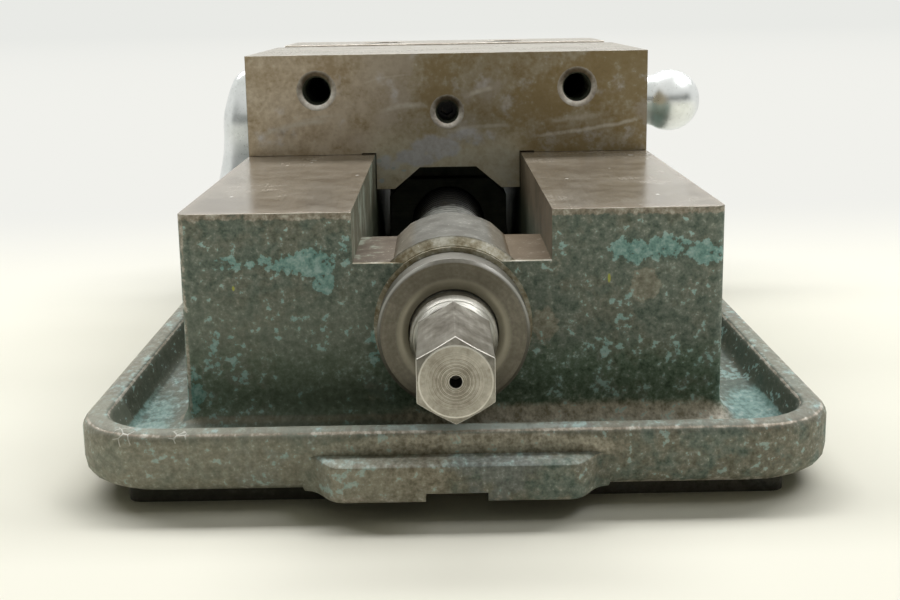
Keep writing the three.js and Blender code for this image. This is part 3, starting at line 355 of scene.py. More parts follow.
    # Bare iron on the outer edges: rim, lug, the block's corners and the lower edge
    turned_out = (f.ny * -1.0).most(abs(f.nx)).rise(0.25, 0.5)
    edge = f.nz.near(0.8, 0.2) * turned_out * flange * f.z.rise(18, 19.5)
    lip = f.z.rise(BED_TOP - 3.2, BED_TOP - 1.0) * f.nz.rise(0.8, 0.5)
    lug_top = f.y.rise(BED_FRONT - 38, BED_FRONT - 42) * f.nz.rise(0.3, 0.8)
    foot_edge = f.z.rise(8.5, 6) * f.nz.rise(0.4, -0.1) * flange
    corner = (f.nx * f.ny * 4).power(2.0).rise(1.4, 3.6) * block * f.x.rise(0.0, -1)
    bare = (edge * 0.9).most(lug_top * 0.2).most(foot_edge * 0.5).most(corner * 0.7).most(lip * 0.95)
    bare = (bare + grit * 1.5 + stain * 1.2 + blotch * 0.8 - 2.2).rise(0.0, 0.34)
    iron = f.ramp(tone, (0.40, (126, 113, 97)), (0.5, (164, 154, 139)), (0.6, (208, 201, 190)))
    f.lay(bare * 0.85, iron)
    f.lay((fine * 0.6 + grit * 0.4).rise(0.62, 0.66) * 0.4, (204, 204, 192))

    # Yellow dots on the front and scribbles on the flange's left corner; a dark band along the left of the
    # wall's foot, and a dark pad, grime with painted shade under the flange
    marks = f.blobs(BED_FRONT, 4, (-61.3, 52.0, 0.5, 0.9, 1.0), (43.8, 53.2, 0.5, 1.6, 1.2))
    f.lay((marks * (grit * 2.0 - 0.1)).rise(0.15, 0.6) * 0.8, (214, 214, 90))
    scribbled = f.blob((-86.5, BED_FRONT - 33, 20), (4.2, 8, 3.2)).most(
        f.blob((-72, BED_FRONT - 35, 20.4), (3.2, 4, 2.2)))
    scribble = f.cracks(330, (0.1, 0, 0.3)).rise(0.07, 0.03) * scribbled.rise(0.25, 0.5)
    f.lay(scribble * 0.8, (222, 222, 214))
    # The pad: grime, darkened further as painted shade under the flange
    pad = f.z.rise(5.3, 4.6)
    wall_foot_band = f.z.near(13.6, 2.4) * block
    f.lay(pad.most(wall_foot_band * 0.5 * f.x.rise(6, -20)) * 0.9, (30, 28, 18))
    return f.done(rough=0.60 - bare * 0.18 + grit * 0.14, metal=bare * 0.35,
                  height=(grit * 0.45 + blotch * 0.45 + stain * 0.3) * (1 - flange * 0.5) - teal * 0.05,
                  depth=0.2, strength=0.7)


def steel_finish(name, dark, light, metal, rough, along, lines, rust, pale, depth=0.06):
    """Worked steel: cutter lines or rings, clouds of brown, rust freckles and fine strokes."""
    f = Finish(name)
    fine = f.noise(800, offset=(0.5, 0.3, 0.8))
    blotch = f.noise(110, 5, 0.62, (0.7, 0.2, 0.5))
    cloud = f.noise(26, 4, 0.5, (0.4, 0.8, 0.1))
    if along == "ring":
        out = f.outward()
        face = abs(f.ny).rise(0.6, 0.9)
        cut = f.rings(out, 1500) * face + f.rings(f.y, 1500, 0.5) * (1 - face)
    else:
        cut = f.noise(30, 3, stretch=[1 if letter == along else 70 for letter in "xyz"])
    f.colour = f.ramp(blotch * 0.45 + cloud * 0.3 + fine * 0.1 + cut * 0.15, (0.40, dark), (0.60, light))
    freckles = (blotch * 0.5 + fine * 0.5).rise(0.56, 0.62) * rust
    f.lay(freckles, (96, 70, 44))
    strokes = f.strokes(60, 50, (0.1, 0.3, 0.2), (0.3, 0.5, 0.6)).most(
        f.strokes(50, 60, (0.6, 0.1, 0.4), (0.4, 0.7, 2.2)))
    f.lay(strokes * pale, (206, 202, 192))
    return f.done(rough=blotch * 0.14 + cut * 0.12 + freckles * 0.4 + (rough - 0.13),
                  metal=metal - freckles * 0.6,
                  height=cut * lines + blotch * 0.25 + fine * 0.12 - strokes * 0.2,
                  depth=depth, strength=0.6)


def bed_top_finish():
    """Ground ways: brown-grey, with faint lines, dull stains, fine freckles and a few bright dings."""
    f = Finish("ground_ways", Specular_IOR_Level=0.6)
    fine = f.noise(700)
    blotch = f.noise(110, 5, 0.62, (0.2, 0.4, 0.1))
    cloud = f.noise(24, 4, 0.5, (0.4, 0.8, 0.1))
    lines = f.noise(24, 3, stretch=(80, 1, 80))
    cross = f.noise(24, 3, stretch=(1, 80, 80), offset=(0, 0.3, 0))
    tone = cloud * 0.35 + blotch * 0.35 + lines * 0.12 + fine * 0.18
    f.colour = f.ramp(tone, (0.42, (120, 108, 92)), (0.5, (142, 132, 116)), (0.58, (164, 155, 141)))
    f.lay((blotch * 0.6 + fine * 0.4).rise(0.42, 0.35) * 0.4, (98, 84, 64))
    f.lay(f.y.rise(BED_FRONT + 60, JAW_BACK) * 0.4, (186, 175, 158))
    edge = f.y.rise(BED_FRONT + 7, BED_FRONT + 1).most(abs(f.x).rise(HALF_WIDTH - 4, HALF_WIDTH))
    f.lay(edge * 0.45 * (blotch + 0.4).least(1.0), (178, 164, 148))
    dings = reduce(Field.most, [f.blob((x, y, BED_TOP), (reach, reach * 1.6, 5)) for x, y, reach in (
        (-49.6, -44.6, 1.2), (67.9, -44.6, 1.3), (-50, -52, 0.7), (-58, -60, 0.6), (72, -58, 0.5),
        (-31, -92, 0.8), (38, -110, 0.7), (-66, -140, 0.7), (55, -84, 0.5), (61, -150, 0.7))]).rise(0.05, 0.5)
    f.lay(dings * 0.9, (232, 228, 220))
    return f.done(rough=cloud * 0.10 + blotch * 0.08 + lines * 0.06 + 0.12, metal=0.40 - cloud * 0.15,
                  height=lines * 0.3 + cross * 0.1 + blotch * 0.15 + fine * 0.1 - dings * 0.3,
                  depth=0.03, strength=0.5)


def jaw_finish():
    """Patina on ground steel: ochre and olive stains, greyish bloom, pale smears and long pale scratches, and
    painted light on the tongue low in the middle.
    """
    f = Finish("jaw_patina")
    fine = f.noise(560)
    blotch = f.noise(120, 5, 0.62, (0.1, 0.5, 0.3))
    cloud = f.noise(34, 4, 0.55, (0.9, 0.3, 0.6))
    lines = f.noise(30, 3, stretch=(1, 80, 80))
    tone = blotch * 0.45 + cloud * 0.25 + fine * 0.3
    back = f.y.rise(JAW_BACK + 3, JAW_BACK + 1)
    top = f.nz.rise(0.7, 0.9)
    f.colour = f.ramp(tone, (0.40, (146, 129, 98)), (0.47, (162, 147, 119)), (0.53, (172, 159, 134)),
                      (0.62, (190, 179, 159)))
    f.lay((cloud * 0.6 + blotch * 0.4).rise(0.50, 0.60) * 0.55, (172, 159, 148))
    sides = abs(f.x).rise(HALF_WIDTH - 14, HALF_WIDTH - 4) * back * 0.8
    low_edge = f.z.rise(BED_TOP + 9, BED_TOP + 1) * back * 0.7
    ochre = (cloud * 0.5 + blotch * 0.3 + fine * 0.2 - sides.most(low_edge) * 0.07).rise(0.49, 0.43)
    f.lay(ochre * (0.25 + back * 0.3), (152, 130, 84))
    f.lay(f.x.rise(10, -60) * back * 0.8, f.ramp(tone, (0.42, (192, 172, 146)), (0.58, (232, 218, 198))))
    # Painted light: the tongue low in the middle made pale against the slot's shade
    lit_tongue = f.z.rise(BED_TOP + 14, BED_TOP) * abs(f.x).rise(34, 24) * back
    f.lay(lit_tongue * 0.9, f.ramp(tone, (0.42, (214, 200, 170)), (0.58, (240, 232, 212))))
    f.lay((fine * 0.6 + blotch * 0.4).rise(0.40, 0.36) * 0.15, (112, 98, 70))
    f.lay(top * 0.85, f.ramp(tone, (0.42, (140, 132, 118)), (0.58, (172, 167, 156))))

    # Scratches on the back face, each a thin band from one end to the other with a slight bow
    wobble = (cloud - 0.5) * 3 + (blotch - 0.5) * 1.2
    scratches = []
    for x0, z0, x1, z1, bow, width, strength in (
            (-73, 7, -44, 12.6, 1.6, 1.0, 0.9), (-60, 11.5, -41, 14.6, 0.8, 0.6, 0.6),
            (-27, 15.6, -6, 18.6, 0.9, 1.0, 0.9), (5, 20.6, 20, 24.4, 0.7, 0.9, 1.0),
            (31, 6.0, 75, 12.4, -0.8, 0.7, 0.9), (36, 12.0, 62, 14.5, -0.5, 1.2, 0.4),
            (-34, 26, -12, 30, 0.5, 0.3, 0.4), (-3, 8, 26, 10.6, 0.5, 0.7, 0.6)):
        slope = (z1 - z0) / (x1 - x0)
        arch = (f.x - x0) * (x1 - f.x) * (4 * bow / (x1 - x0) ** 2)
        line = (f.x - x0) * slope + arch + wobble + (BED_TOP + z0)
        ends = f.x.rise(x0, x0 + 6) * f.x.rise(x1, x1 - 6)
        scratches.append(abs(f.z - line).rise(width * 1.6, 0.1) * ends * strength)
    scratches = reduce(Field.most, scratches) * (fine * 1.2 + blotch * 0.8 - 0.2).least(1.0).most(0.0) * back
    smear = f.blobs(JAW_BACK, 4, (-5, 75, 13, 7, 1.2), (-12, 71.5, 13, 5, 1.2), (-22, 70, 8, 5, 0.9),
                    (8, 79, 24, 5, 0.6), (60, 98, 9, 6, 0.4), (52, 80, 20, 7, 0.35), (-66, 80, 14, 6, 0.5))
    wiped = f.noise(95, offset=(0.5, 0.2, 0.9))
    smear = (smear * back * 0.9 + wiped * 2.4 + blotch - 1.95).rise(0.0, 0.6)
    f.lay(smear * 0.75, f.ramp(tone, (0.42, (204, 202, 208)), (0.58, (232, 232, 240))))
    f.lay(scratches.least(1.0) * 0.9, (222, 216, 206))
    specks = f.blobs(JAW_BACK, 3, (-26.5, 70.5, 1.3, 0.9, 1.0), (-21, 67.6, 1.0, 0.6, 0.8),
                     (-25.5, 62.8, 1.2, 1.1, 0.8), (-17, 66.6, 1.4, 0.5, 0.6))
    f.lay((specks * back + fine - 0.6).rise(0.0, 0.4), (214, 218, 214))
    return f.done(rough=cloud * 0.16 + fine * 0.1 + (0.36 - top * 0.2),
                  metal=0.35 - blotch * 0.2 + top * 0.1,
                  height=fine * 0.2 + blotch * 0.3 + lines * 0.15 - scratches * 0.3, depth=0.1, strength=0.5)


def slot_finish():
    """Greasy iron inside the slot: black below, brown and smeared beside the ways."""
    f = Finish("greasy_slot", Specular_IOR_Level=0.3)
    grain = f.noise(520, 4, 0.65)
    blotch = f.noise(90, 5, offset=(0.7, 0.2, 0.5))
    near = f.z.rise(52, 66) * abs(f.nx).rise(0.7, 0.9) * (0.75 + blotch * 0.5)
    share, left = near.least(1.0), f.x.rise(0.0, -1)
    f.colour = f.ramp(blotch * 0.6 + grain * 0.4, (0.40, (44, 50, 38)), (0.60, (88, 92, 76)))
    f.lay(share, f.ramp(grain * 0.5 + blotch * 0.5, (0.40, (84, 73, 56)), (0.60, (124, 111, 92))))
    f.lay(share * left * 0.6, (116, 120, 102))
    smears = (f.noise(120, stretch=(1, 1.4, 0.5), offset=(0.3, 0.1, 0)) * 0.6 + blotch * 0.4).rise(0.5, 0.6)
    f.lay(smears * share * left * 0.85, (178, 190, 176))
    return f.done(rough=grain * 0.3 + 0.35, metal=near * 0.2, height=grain * 0.5 + blotch * 0.5,
                  depth=0.2, strength=0.6)


def boss_finish():
    """Bare iron of the boss and sill: grey on top and brown down the boss's sides, partly wear and partly
    painted shade, with a brown sill and a speckled worn front.
    """
    f = Finish("bare_boss", Specular_IOR_Level=0.3)
    fine = f.noise(900, offset=(0.1, 0.2, 0.3))
    blotch = f.noise(180, 5, offset=(0.5, 0.5, 0.2))
    cloud = f.noise(60, offset=(0.2, 0.3, 0.2))
    sill = f.z.rise(SILL + 1.2, SILL + 0.4)
    # Faces turned sideways on the boss go brown, partly wear and partly painted shade; the sill is brown iron
    side = abs(f.nx).rise(0.4, 0.62).most(sill)
    tone = blotch * 0.45 + fine * 0.25 + cloud * 0.3
    f.colour = f.ramp(tone, (0.40, (88, 86, 79)), (0.50, (106, 105, 98)), (0.60, (126, 125, 118)))
    brown = f.ramp(tone, (0.40, (92, 80, 62)), (0.5, (116, 106, 88)), (0.60, (140, 132, 114)))
    brown = f.mixed(sill, brown, f.ramp(tone, (0.40, (76, 62, 46)), (0.60, (112, 98, 80))))
    f.lay(side * 0.6 + sill * 0.25, brown)
    f.lay(sill * f.x.rise(10, 20) * 0.5, (106, 86, 54))
    smears = (blotch * 0.5 + cloud * 0.5).rise(0.49, 0.55) * sill * f.x.rise(-19, -24)
    f.lay(smears * 0.8, (150, 158, 142))
    front = f.y.rise(BED_FRONT + 2.6, BED_FRONT + 1.8)
    f.lay(front, f.ramp(tone, (0.38, (112, 100, 74)), (0.47, (156, 149, 128)), (0.58, (200, 197, 184))))
    f.lay((fine * 0.7 + blotch * 0.3).rise(0.59, 0.64) * front.most(0.3), (206, 204, 192))
    return f.done(rough=blotch * 0.2 + 0.36, metal=0.35 - blotch * 0.25 + front * 0.1, height=tone,
                  depth=0.12, strength=0.6)


def screw_end_finish():
    """The hexagon: soft cutter marks on its flats, fine rings round its centre hole, a painted highlight over
    its root and painted shade inside the hole.
    """
    f = Finish("hexagon_end")
    fine = f.noise(900)
    blotch = f.noise(190, offset=(0.3, 0.3, 0.7))
    scuff = f.noise(70, offset=(0.6, 0.1, 0.1), stretch=(1, 0.5, 1))
    out = f.outward()
    face = f.ny.rise(-0.85, -0.97)
    broken = (blotch * 0.5 + fine * 0.5 + 0.1).least(1.0)
    rings = (f.rings(out, 5200) - 0.54) * out.rise(9.5, 2.0) * face * broken * 3.0
    mill = f.noise(60, 3, stretch=(12, 1.2, 12))
    tone = blotch * 0.35 + fine * 0.2 + scuff * 0.25 + mill * 0.2 * (1 - face) + 0.1 * face + rings * 0.9
    f.colour = f.ramp(tone, (0.34, (86, 80, 68)), (0.44, (118, 113, 102)), (0.54, (142, 138, 128)),
                      (0.66, (190, 186, 176)))
    f.lay(face * 0.6, f.ramp(tone, (0.36, (140, 132, 116)), (0.6, (228, 222, 210))))
    # A painted highlight on the upper half of the run-out at the hexagon's root
    root = f.y.rise(SHANK_FRONT - 3.4, SHANK_FRONT - 1.2) * out.rise(9.6, 10.4)
    root = (root * 0.7).most(f.y.near(SHANK_FRONT - 2.2, 0.5) * out.rise(9.4, 9.8))
    f.lay(root * f.z.rise(AXIS.z - 4, AXIS.z + 4) * f.y.rise(SHANK_FRONT + 1, SHANK_FRONT), (236, 234, 226))
    # Painted shade inside the centre hole
    f.lay(out.rise(2.4, 1.7) * abs(f.ny).rise(0.98, 0.9), (22, 19, 14))
    return f.done(rough=blotch * 0.16 + fine * 0.08 + 0.26, metal=0.62 - blotch * 0.15,
                  height=rings * 1.4 + mill * 0.3 * (1 - face) + blotch * 0.3, depth=0.06, strength=0.6)


def collar_finish():
    """Turned steel with a greasy brown-grey film, blue-grey on the rim and darker towards the top of its
    face; painted light pales the dish, lays crescents beside the shank and bright arcs high on the rim, and
    painted shade darkens the gap round the shank.
    """
    f = Finish("turned_collar")
    fine = f.noise(900)
    blotch = f.noise(80, 5, offset=(0.6, 0.1, 0.9))
    out = f.outward()
    rings = f.rings(out, 900)
    face = abs(f.ny).rise(0.6, 0.9)
    tone = blotch * 0.5 + fine * 0.3 + rings * 0.2
    f.colour = f.ramp(tone, (0.40, (108, 102, 88)), (0.50, (124, 118, 104)), (0.60, (142, 136, 122)))
    # The dish made paler: painted light against its shade
    dish = out.rise(16.2, 15.0) * face
    f.lay(dish * 0.55, (178, 172, 154))
    # Pale crescents beside the shank: painted light
    crescent_highlight = out.near(14.4, 0.9) * face * 0.6 * abs(f.x).rise(7, 12) * f.z.rise(AXIS.z - 12, AXIS.z)
    f.lay(crescent_highlight * 0.7, (214, 206, 186))
    # Bright arcs high on the rim's front edge, left and right: painted highlights
    rim = out.rise(20.1, 20.6) * f.ny.rise(-0.2, -0.4) * f.z.rise(AXIS.z - 2, AXIS.z + 8)
    f.lay(rim * abs(f.x).rise(4, 10) * 0.85, (226, 224, 216))
    f.lay(f.z.rise(AXIS.z + 8, AXIS.z + 19) * face * 0.35, (88, 80, 62))
    f.lay((1 - face) * 0.5, (96, 98, 98))
    # A dark ring at the gap round the shank: painted shade
    f.lay(out.near(12.3, 0.35) * 0.85, (34, 30, 20))
    return f.done(rough=blotch * 0.16 + rings * 0.06 + 0.3, metal=0.45 - blotch * 0.2,
                  height=rings * 0.3 + fine * 0.2 + blotch * 0.2, depth=0.05, strength=0.4)


def chrome_finish():
    """Bright plating, hazy from handling, with faint waves, wipe marks and dull specks."""
    f = Finish("chrome_plate", Metallic=1.0)
    wave = f.noise(48, 2, 0.5)
    haze = f.noise(120, 5, offset=(0.2, 0.2, 0.7))
    wipe = f.noise(70, 3, stretch=(1, 14, 14))
    speck = f.noise(900).rise(0.62, 0.68)
    f.colour = f.ramp(haze, (0.38, (218, 221, 220)), (0.6, (234, 236, 236)))
    f.lay(speck * 0.35, (140, 134, 124))
    return f.done(rough=haze * 0.12 + wipe * 0.08 + speck * 0.2 + 0.2, height=wave * 0.8 + wipe * 0.1,
                  depth=0.1, strength=0.3)


def edge_finish(name, dull, middle, bright):
    """Broken edges of steel and iron: rubbed pale, with painted shade turning them brown where they face
    down.
    """
    f = Finish(name)
    fine = f.noise(700)
    blotch = f.noise(140, 5, offset=(0.2, 0.7, 0.3))
    tone = blotch * 0.6 + fine * 0.4
    under = f.nz.rise(0.25, -0.25)
    f.colour = f.ramp(tone, (0.40, dull), (0.50, middle), (0.60, bright))
    # Painted shade: brown where the edge faces down
    f.lay(under, f.ramp(tone, (0.40, (70, 58, 42)), (0.60, (116, 102, 82))))
    return f.done(rough=blotch * 0.3 + 0.25, metal=0.5 - under * 0.3, height=tone, depth=0.1, strength=0.6)


def thread_finish():
    """The screw's thread: pale steel near the front wall as painted light, and nearly black further back as
    the jaw's painted shadow.
    """
    f = Finish("shaded_lit_thread")
    grain = f.noise(500)
    blotch = f.noise(120, 5, offset=(0.3, 0.6, 0.1))
    # Painted light near the front wall, the jaw's painted shadow further back
    lit_front = (f.y + (blotch - 0.5) * 20).rise(-34, -46)
    steel = f.ramp(grain * 0.4 + blotch * 0.6, (0.40, (150, 150, 145)), (0.60, (206, 206, 202)))
    f.colour = f.ramp(grain * 0.4 + blotch * 0.6, (0.40, (16, 16, 12)), (0.60, (50, 47, 38)))
    f.lay(lit_front, steel)
    return f.done(rough=blotch * 0.3 + 0.26, metal=lit_front * 0.4 + 0.15, height=grain * 0.4 + blotch * 0.6,
                  depth=0.08, strength=0.5)


def oxide_finish():
    """Black oxide on screws, rubbed brown-grey on the high spots."""
    f = Finish("black_oxide")
    fine = f.noise(700)
    rub = f.noise(260).rise(0.52, 0.64)
    f.colour = f.ramp(fine, (0.4, (30, 29, 28)), (0.6, (52, 50, 47)))
    f.lay(rub * 0.6, (104, 96, 84))
    return f.done(rough=fine * 0.25 + 0.3, metal=rub * 0.4 + 0.35, height=fine, depth=0.08, strength=0.4)


def bronze_finish():
    f = Finish("turned_bronze")
    cloud = f.noise(140, 5)
    rings = f.rings(f.outward(), 1600)
    f.colour = f.ramp(cloud * 0.7 + rings * 0.3, (0.38, (96, 70, 36)), (0.5, (148, 112, 62)),
                      (0.62, (184, 148, 92)))
    return f.done(rough=cloud * 0.3 + 0.16, metal=0.95 - cloud * 0.3, height=cloud * 0.6 + rings * 0.4,
                  depth=0.05, strength=0.4)


PAINTED = paint_finish()
WAYS = bed_top_finish()
JAW = jaw_finish()
INSIDE = slot_finish()
BOSS = boss_finish()
HEX = screw_end_finish()
COLLAR = collar_finish()
CHROME = chrome_finish()
OXIDE = oxide_finish()
BRONZE = bronze_finish()
PLATE = steel_finish("ground_plate", (126, 118, 104), (168, 161, 150), 0.6, 0.3, "x", 0.4, 0.3, 0.3)
MACHINED = steel_finish("machined_iron", (92, 84, 70), (138, 130, 116), 0.4, 0.5, "x", 0.6, 0.5, 0.2, 0.1)
BRIGHT = steel_finish("bright_turned", (140, 134, 122), (190, 186, 176), 0.8, 0.26, "ring", 0.5, 0.1, 0.2)
EDGE = edge_finish("worn_edge", (150, 138, 122), (190, 180, 166), (226, 219, 208))
RUBBED = edge_finish("rubbed_edge", (206, 194, 182), (232, 224, 214), (250, 246, 240))
TIP_EDGE = steel_finish("tip_edge", (202, 197, 186), (242, 239, 232), 0.35, 0.36, "ring", 0.2, 0.1, 0.1, 0.03)
# The thread's finish, with painted light and the jaw's painted shadow
THREAD_LIT_AND_SHADED = thread_finish()
NUT_IRON = steel_finish("oily_nut", (58, 62, 50), (104, 106, 90), 0.2, 0.5, "x", 0.4, 0.3, 0.05, 0.12)

SLOT_FINISH = {
    "painted_iron": PAINTED, "brown_steel": JAW, "ground_steel": PLATE, "dark_steel": NUT_IRON,
    "bright_steel": BRIGHT, "black_screw": OXIDE, "bronze": BRONZE, "chrome": CHROME,
}

# Every CAD node wears its slot's finish
for node_name, cad_node in NODES.items():
    cad_node.data.materials.clear()
    cad_node.data.materials.append(SLOT_FINISH[NODE_SLOT[node_name]])


# Making and placing a piece
def mesh_of(bm, name):
    mesh = bpy.data.meshes.new(name)
    bm.to_mesh(mesh)
    bm.free()
    return mesh


def placed(name, data):
    thing = bpy.data.objects.new(name, data)
    bpy.context.collection.objects.link(thing)
    return thing


def piece_from(bm, name, materials, body, smooth_angle=38):
    """A finished mesh piece that rides on a body."""
    mesh = mesh_of(bm, name)
    for polygon in mesh.polygons:
        polygon.use_smooth = True
    mesh.set_sharp_from_angle(angle=math.radians(smooth_angle))
    for material in materials:
        mesh.materials.append(material)
    piece = placed(name, mesh)
    piece.modifiers.new("weighted", "WEIGHTED_NORMAL").keep_sharp = True
    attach(piece, body)
    return piece


def stand_in(bm, node, materials, smooth_angle=38):
    """The piece that is shown for a CAD node."""
    body = next(body for body, members in BODIES.items() if node in members)
    piece = piece_from(bm, f"{node}_dressed", materials, body, smooth_angle)
    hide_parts(node)


def joined(bm, *others):
    """The first mesh with the shells of the others added."""
    for other in others:
        shell = mesh_of(other, "shell")
        bm.from_mesh(shell)
        bpy.data.meshes.remove(shell)
    return bm


def marked(bm, number):
    """The mesh with every face on one material number."""
    for face in bm.faces:
        face.material_index = number
    return bm


def shifted(bm, point):
    bmesh.ops.translate(bm, vec=Vector(point) * MM, verts=bm.verts)
    return bm


def turned_out(bm):
    bmesh.ops.recalc_face_normals(bm, faces=bm.faces)
    return bm


def open_edges(bm):
    return [edge for edge in bm.edges if edge.is_boundary]


def merged_copy(node, choose=None):
    """A node's mesh in one skin with flat faces whole; choose numbers a face by its middle and facing."""
    bm = bmesh.new()
    bm.from_mesh(NODES[node].data)
    bmesh.ops.remove_doubles(bm, verts=bm.verts, dist=0.002 * MM)
    bm.normal_update()
    for face in bm.faces:
        face.material_index = choose(face.calc_center_median() / MM, face.normal) if choose else 0
    bmesh.ops.dissolve_limit(bm, angle_limit=math.radians(0.6), verts=bm.verts, edges=bm.edges,
                             delimit={"MATERIAL"})
    return bm


def anywhere(_):
    return True


def round_edges(bm, width, segments=2, sharper_than=35, number=None, ends=anywhere, middle=anywhere):
    """A round on sharp edges with both ends in one place, numbered where it lies in another."""
    bm.normal_update()
    sharp = [e for e in bm.edges if e.is_manifold and e.calc_face_angle(0) > math.radians(sharper_than)
             and all(ends(corner.co / MM) for corner in e.verts)]
    made = bmesh.ops.bevel(bm, geom=sharp, affect="EDGES", offset=width * MM, offset_type="OFFSET",
                           segments=segments, profile=0.5, material=-1, clamp_overlap=True)
    for face in made["faces"] if number is not None else []:
        if middle(face.calc_center_median() / MM):
            face.material_index = number
    return bm


def dressed(node, width, materials=None, choose=None, number=None):
    """A CAD node's own shape with its edges broken."""
    bm = round_edges(merged_copy(node, choose), width, number=number)
    stand_in(bm, node, materials or [SLOT_FINISH[NODE_SLOT[node]]])


def spun(profile, axis, point=(0, 0, 0), steps=72):
    """A solid of revolution from pairs of radius and place along an axis through a point."""
    along = Vector([float(letter == axis) for letter in "xyz"])
    across = Vector((0, 0, 1)) if axis != "z" else Vector((1, 0, 0))
    bm = bmesh.new()
    line = [bm.verts.new((across * radius + along * place) * MM) for radius, place in profile]
    edges = [bm.edges.new(pair) for pair in zip(line, line[1:])]
    bmesh.ops.spin(bm, geom=line + edges, cent=(0, 0, 0), axis=along, dvec=(0, 0, 0), angle=2 * math.pi,
                   space=Matrix.Identity(4), steps=steps, use_merge=True)
    bmesh.ops.remove_doubles(bm, verts=bm.verts, dist=0.001 * MM)
    return turned_out(shifted(bm, point))


def wound(outline, start, end, pitch, point, turn_steps):
    """A left-hand thread's ridge: a closed outline of radius and place, wound along Y between two places."""
    bm = bmesh.new()
    corners = [bm.verts.new((radius * MM, (start + place) * MM, 0)) for radius, place in outline]
    edges = [bm.edges.new(pair) for pair in zip(corners, corners[1:] + corners[:1])]
    turns = (end - start) / pitch
    steps = round(turns * turn_steps)
    bmesh.ops.spin(bm, geom=corners + edges, cent=(0, 0, 0), axis=(0, 1, 0), angle=-2 * math.pi * turns,
                   dvec=(0, (end - start) * MM / steps, 0), space=Matrix.Identity(4), steps=steps)
    bmesh.ops.holes_fill(bm, edges=open_edges(bm), sides=len(outline))
    return turned_out(shifted(bm, point))


def ring_of(bm, count, radius, height, turn=0.0, notch=0.0):
    """A ring of edges about Z; with a notch, every other corner lies that much further in."""
    place = Matrix.Translation((0, 0, height * MM)) @ Matrix.Rotation(turn, 4, "Z")
    corners = bmesh.ops.create_circle(bm, segments=count, radius=radius * MM, matrix=place)["verts"]
    for corner in corners[::2] if notch else []:
        corner.co.xy *= 1 - notch / radius
    return list({edge for corner in corners for edge in corner.link_edges})


def socket_head(head, head_length, shank, shank_length):
    """A socket head screw with a knurled head, its seat at the origin and its shank down -Z."""
    bm = bmesh.new()
    sides, notch = 96, 0.22
    rings = [(sides, head - 0.5, 0, 0), (sides, head - 0.1, 0.5, 0), (sides, head, 0.8, notch),
             (sides, head, head_length - 1.4, notch), (sides, head - 0.1, head_length - 1.1, 0),
             (sides, head - 0.9, head_length, 0), (6, head * 0.62, head_length, 0),
             (6, head * 0.6, head_length - 5, 0)]
    loops = [ring_of(bm, count, radius, height, 0, depth) for count, radius, height, depth in rings]
    for below, above in zip(loops, loops[1:]):
        bmesh.ops.bridge_loops(bm, edges=below + above)
    bmesh.ops.holes_fill(bm, edges=open_edges(bm), sides=sides)
    inner = shank - 0.55
    core = spun([(0, 0.2), (inner, 0.2), (inner, 1 - shank_length), (shank - 1.4, -shank_length),
                 (0, -shank_length)], "z", steps=32)
    return joined(turned_out(bm), core)


# Bed casting: painted outside, ground ways, bare boss and sill, greasy slot, machined pad and bores
PAINT_NO, WAY_NO, BOSS_NO, SLOT_NO, CUT_NO, RUBBED_NO = range(6)


def bed_face(where, facing):
    out = math.hypot(where.x, where.z - AXIS.z)
    if facing.z > 0.9 and where.z > BED_TOP - 0.6:
        return WAY_NO
    if abs(abs(where.x) - HALF_SLOT) < 0.3 and abs(facing.x) > 0.9 and where.z > 14:
        return SLOT_NO
    if where.y < WALL_BACK - 1 and where.z > SILL - 0.4 and out < 33 and abs(facing.y) < 0.9:
        return BOSS_NO
    if where.y < BED_FRONT - 0.2 and out < 22.6 and where.z > 15:
        return BOSS_NO
    if where.y < BED_FRONT + 2.6 and 22.2 < out < 25.2 and where.z > SILL and facing.y < -0.5:
        return BOSS_NO
    if facing.z < -0.9 and where.z < 0.3 or out < 21.2 and abs(facing.y) < 0.5 and where.z > 15.2:
        return CUT_NO
    hollow = abs(where.x) < 67 and abs(where.y) < 131 and where.z < BED_TOP - 8
    return SLOT_NO if hollow and (abs(where.x) < HALF_SLOT + 0.3 or where.z < 39) else PAINT_NO


def rubbed_edge(at):
    """Where the bed's broken edges are bare: round the ways and the boss's front."""
    round_boss = math.hypot(at.x, at.z - AXIS.z) > 21.5 and abs(at.x) < 26
    return at.z > BED_TOP - 1 or (at.y < WALL_BACK - 2 and SILL - 1 < at.z and round_boss)


def bed():
    """The casting with its front corners well rounded by wear, and a hollow round behind each lug's ledge."""
    bm = merged_copy("bed_casting", bed_face)
    ledge = low("bed_casting").y + 9.6
    for width, segments, number, ends in (
            (1.1, 4, RUBBED_NO, lambda at: at.z > BED_TOP - 0.1 and at.y < BED_FRONT + 0.1),
            (1.2, 4, RUBBED_NO, lambda at: at.z > BED_TOP - 0.1 and at.x > HALF_WIDTH - 0.1),
            (1.3, 4, PAINT_NO,
             lambda at: abs(at.x) > HALF_WIDTH - 2.5 and at.z > 16 and at.y < BED_FRONT + 2.5),
            (2.8, 5, PAINT_NO, lambda at: abs(at.y - ledge) < 0.3 and abs(at.z - LUG_TOP) < 0.3),
            (1.6, 4, PAINT_NO, lambda at: at.y < ledge - 1 and abs(at.z - LUG_TOP) < 0.3)):
        round_edges(bm, width, segments, 50, number, ends)
    round_edges(bm, 0.5, 3, number=RUBBED_NO, middle=rubbed_edge)
    stand_in(bm, "bed_casting", [PAINTED, WAYS, BOSS, INSIDE, MACHINED, EDGE])


# Jaws: patina outside, black and greasy in the nut's cavity, bright countersinks
PATINA_NO, DARK_NO, WORN_NO, SINK_NO = range(4)


def in_hole(where, facing, holes):
    return abs(facing.y) < 0.9 and any(math.hypot(where.x - x, where.z - BED_TOP - z) < reach
                                       for x, z, reach in holes)


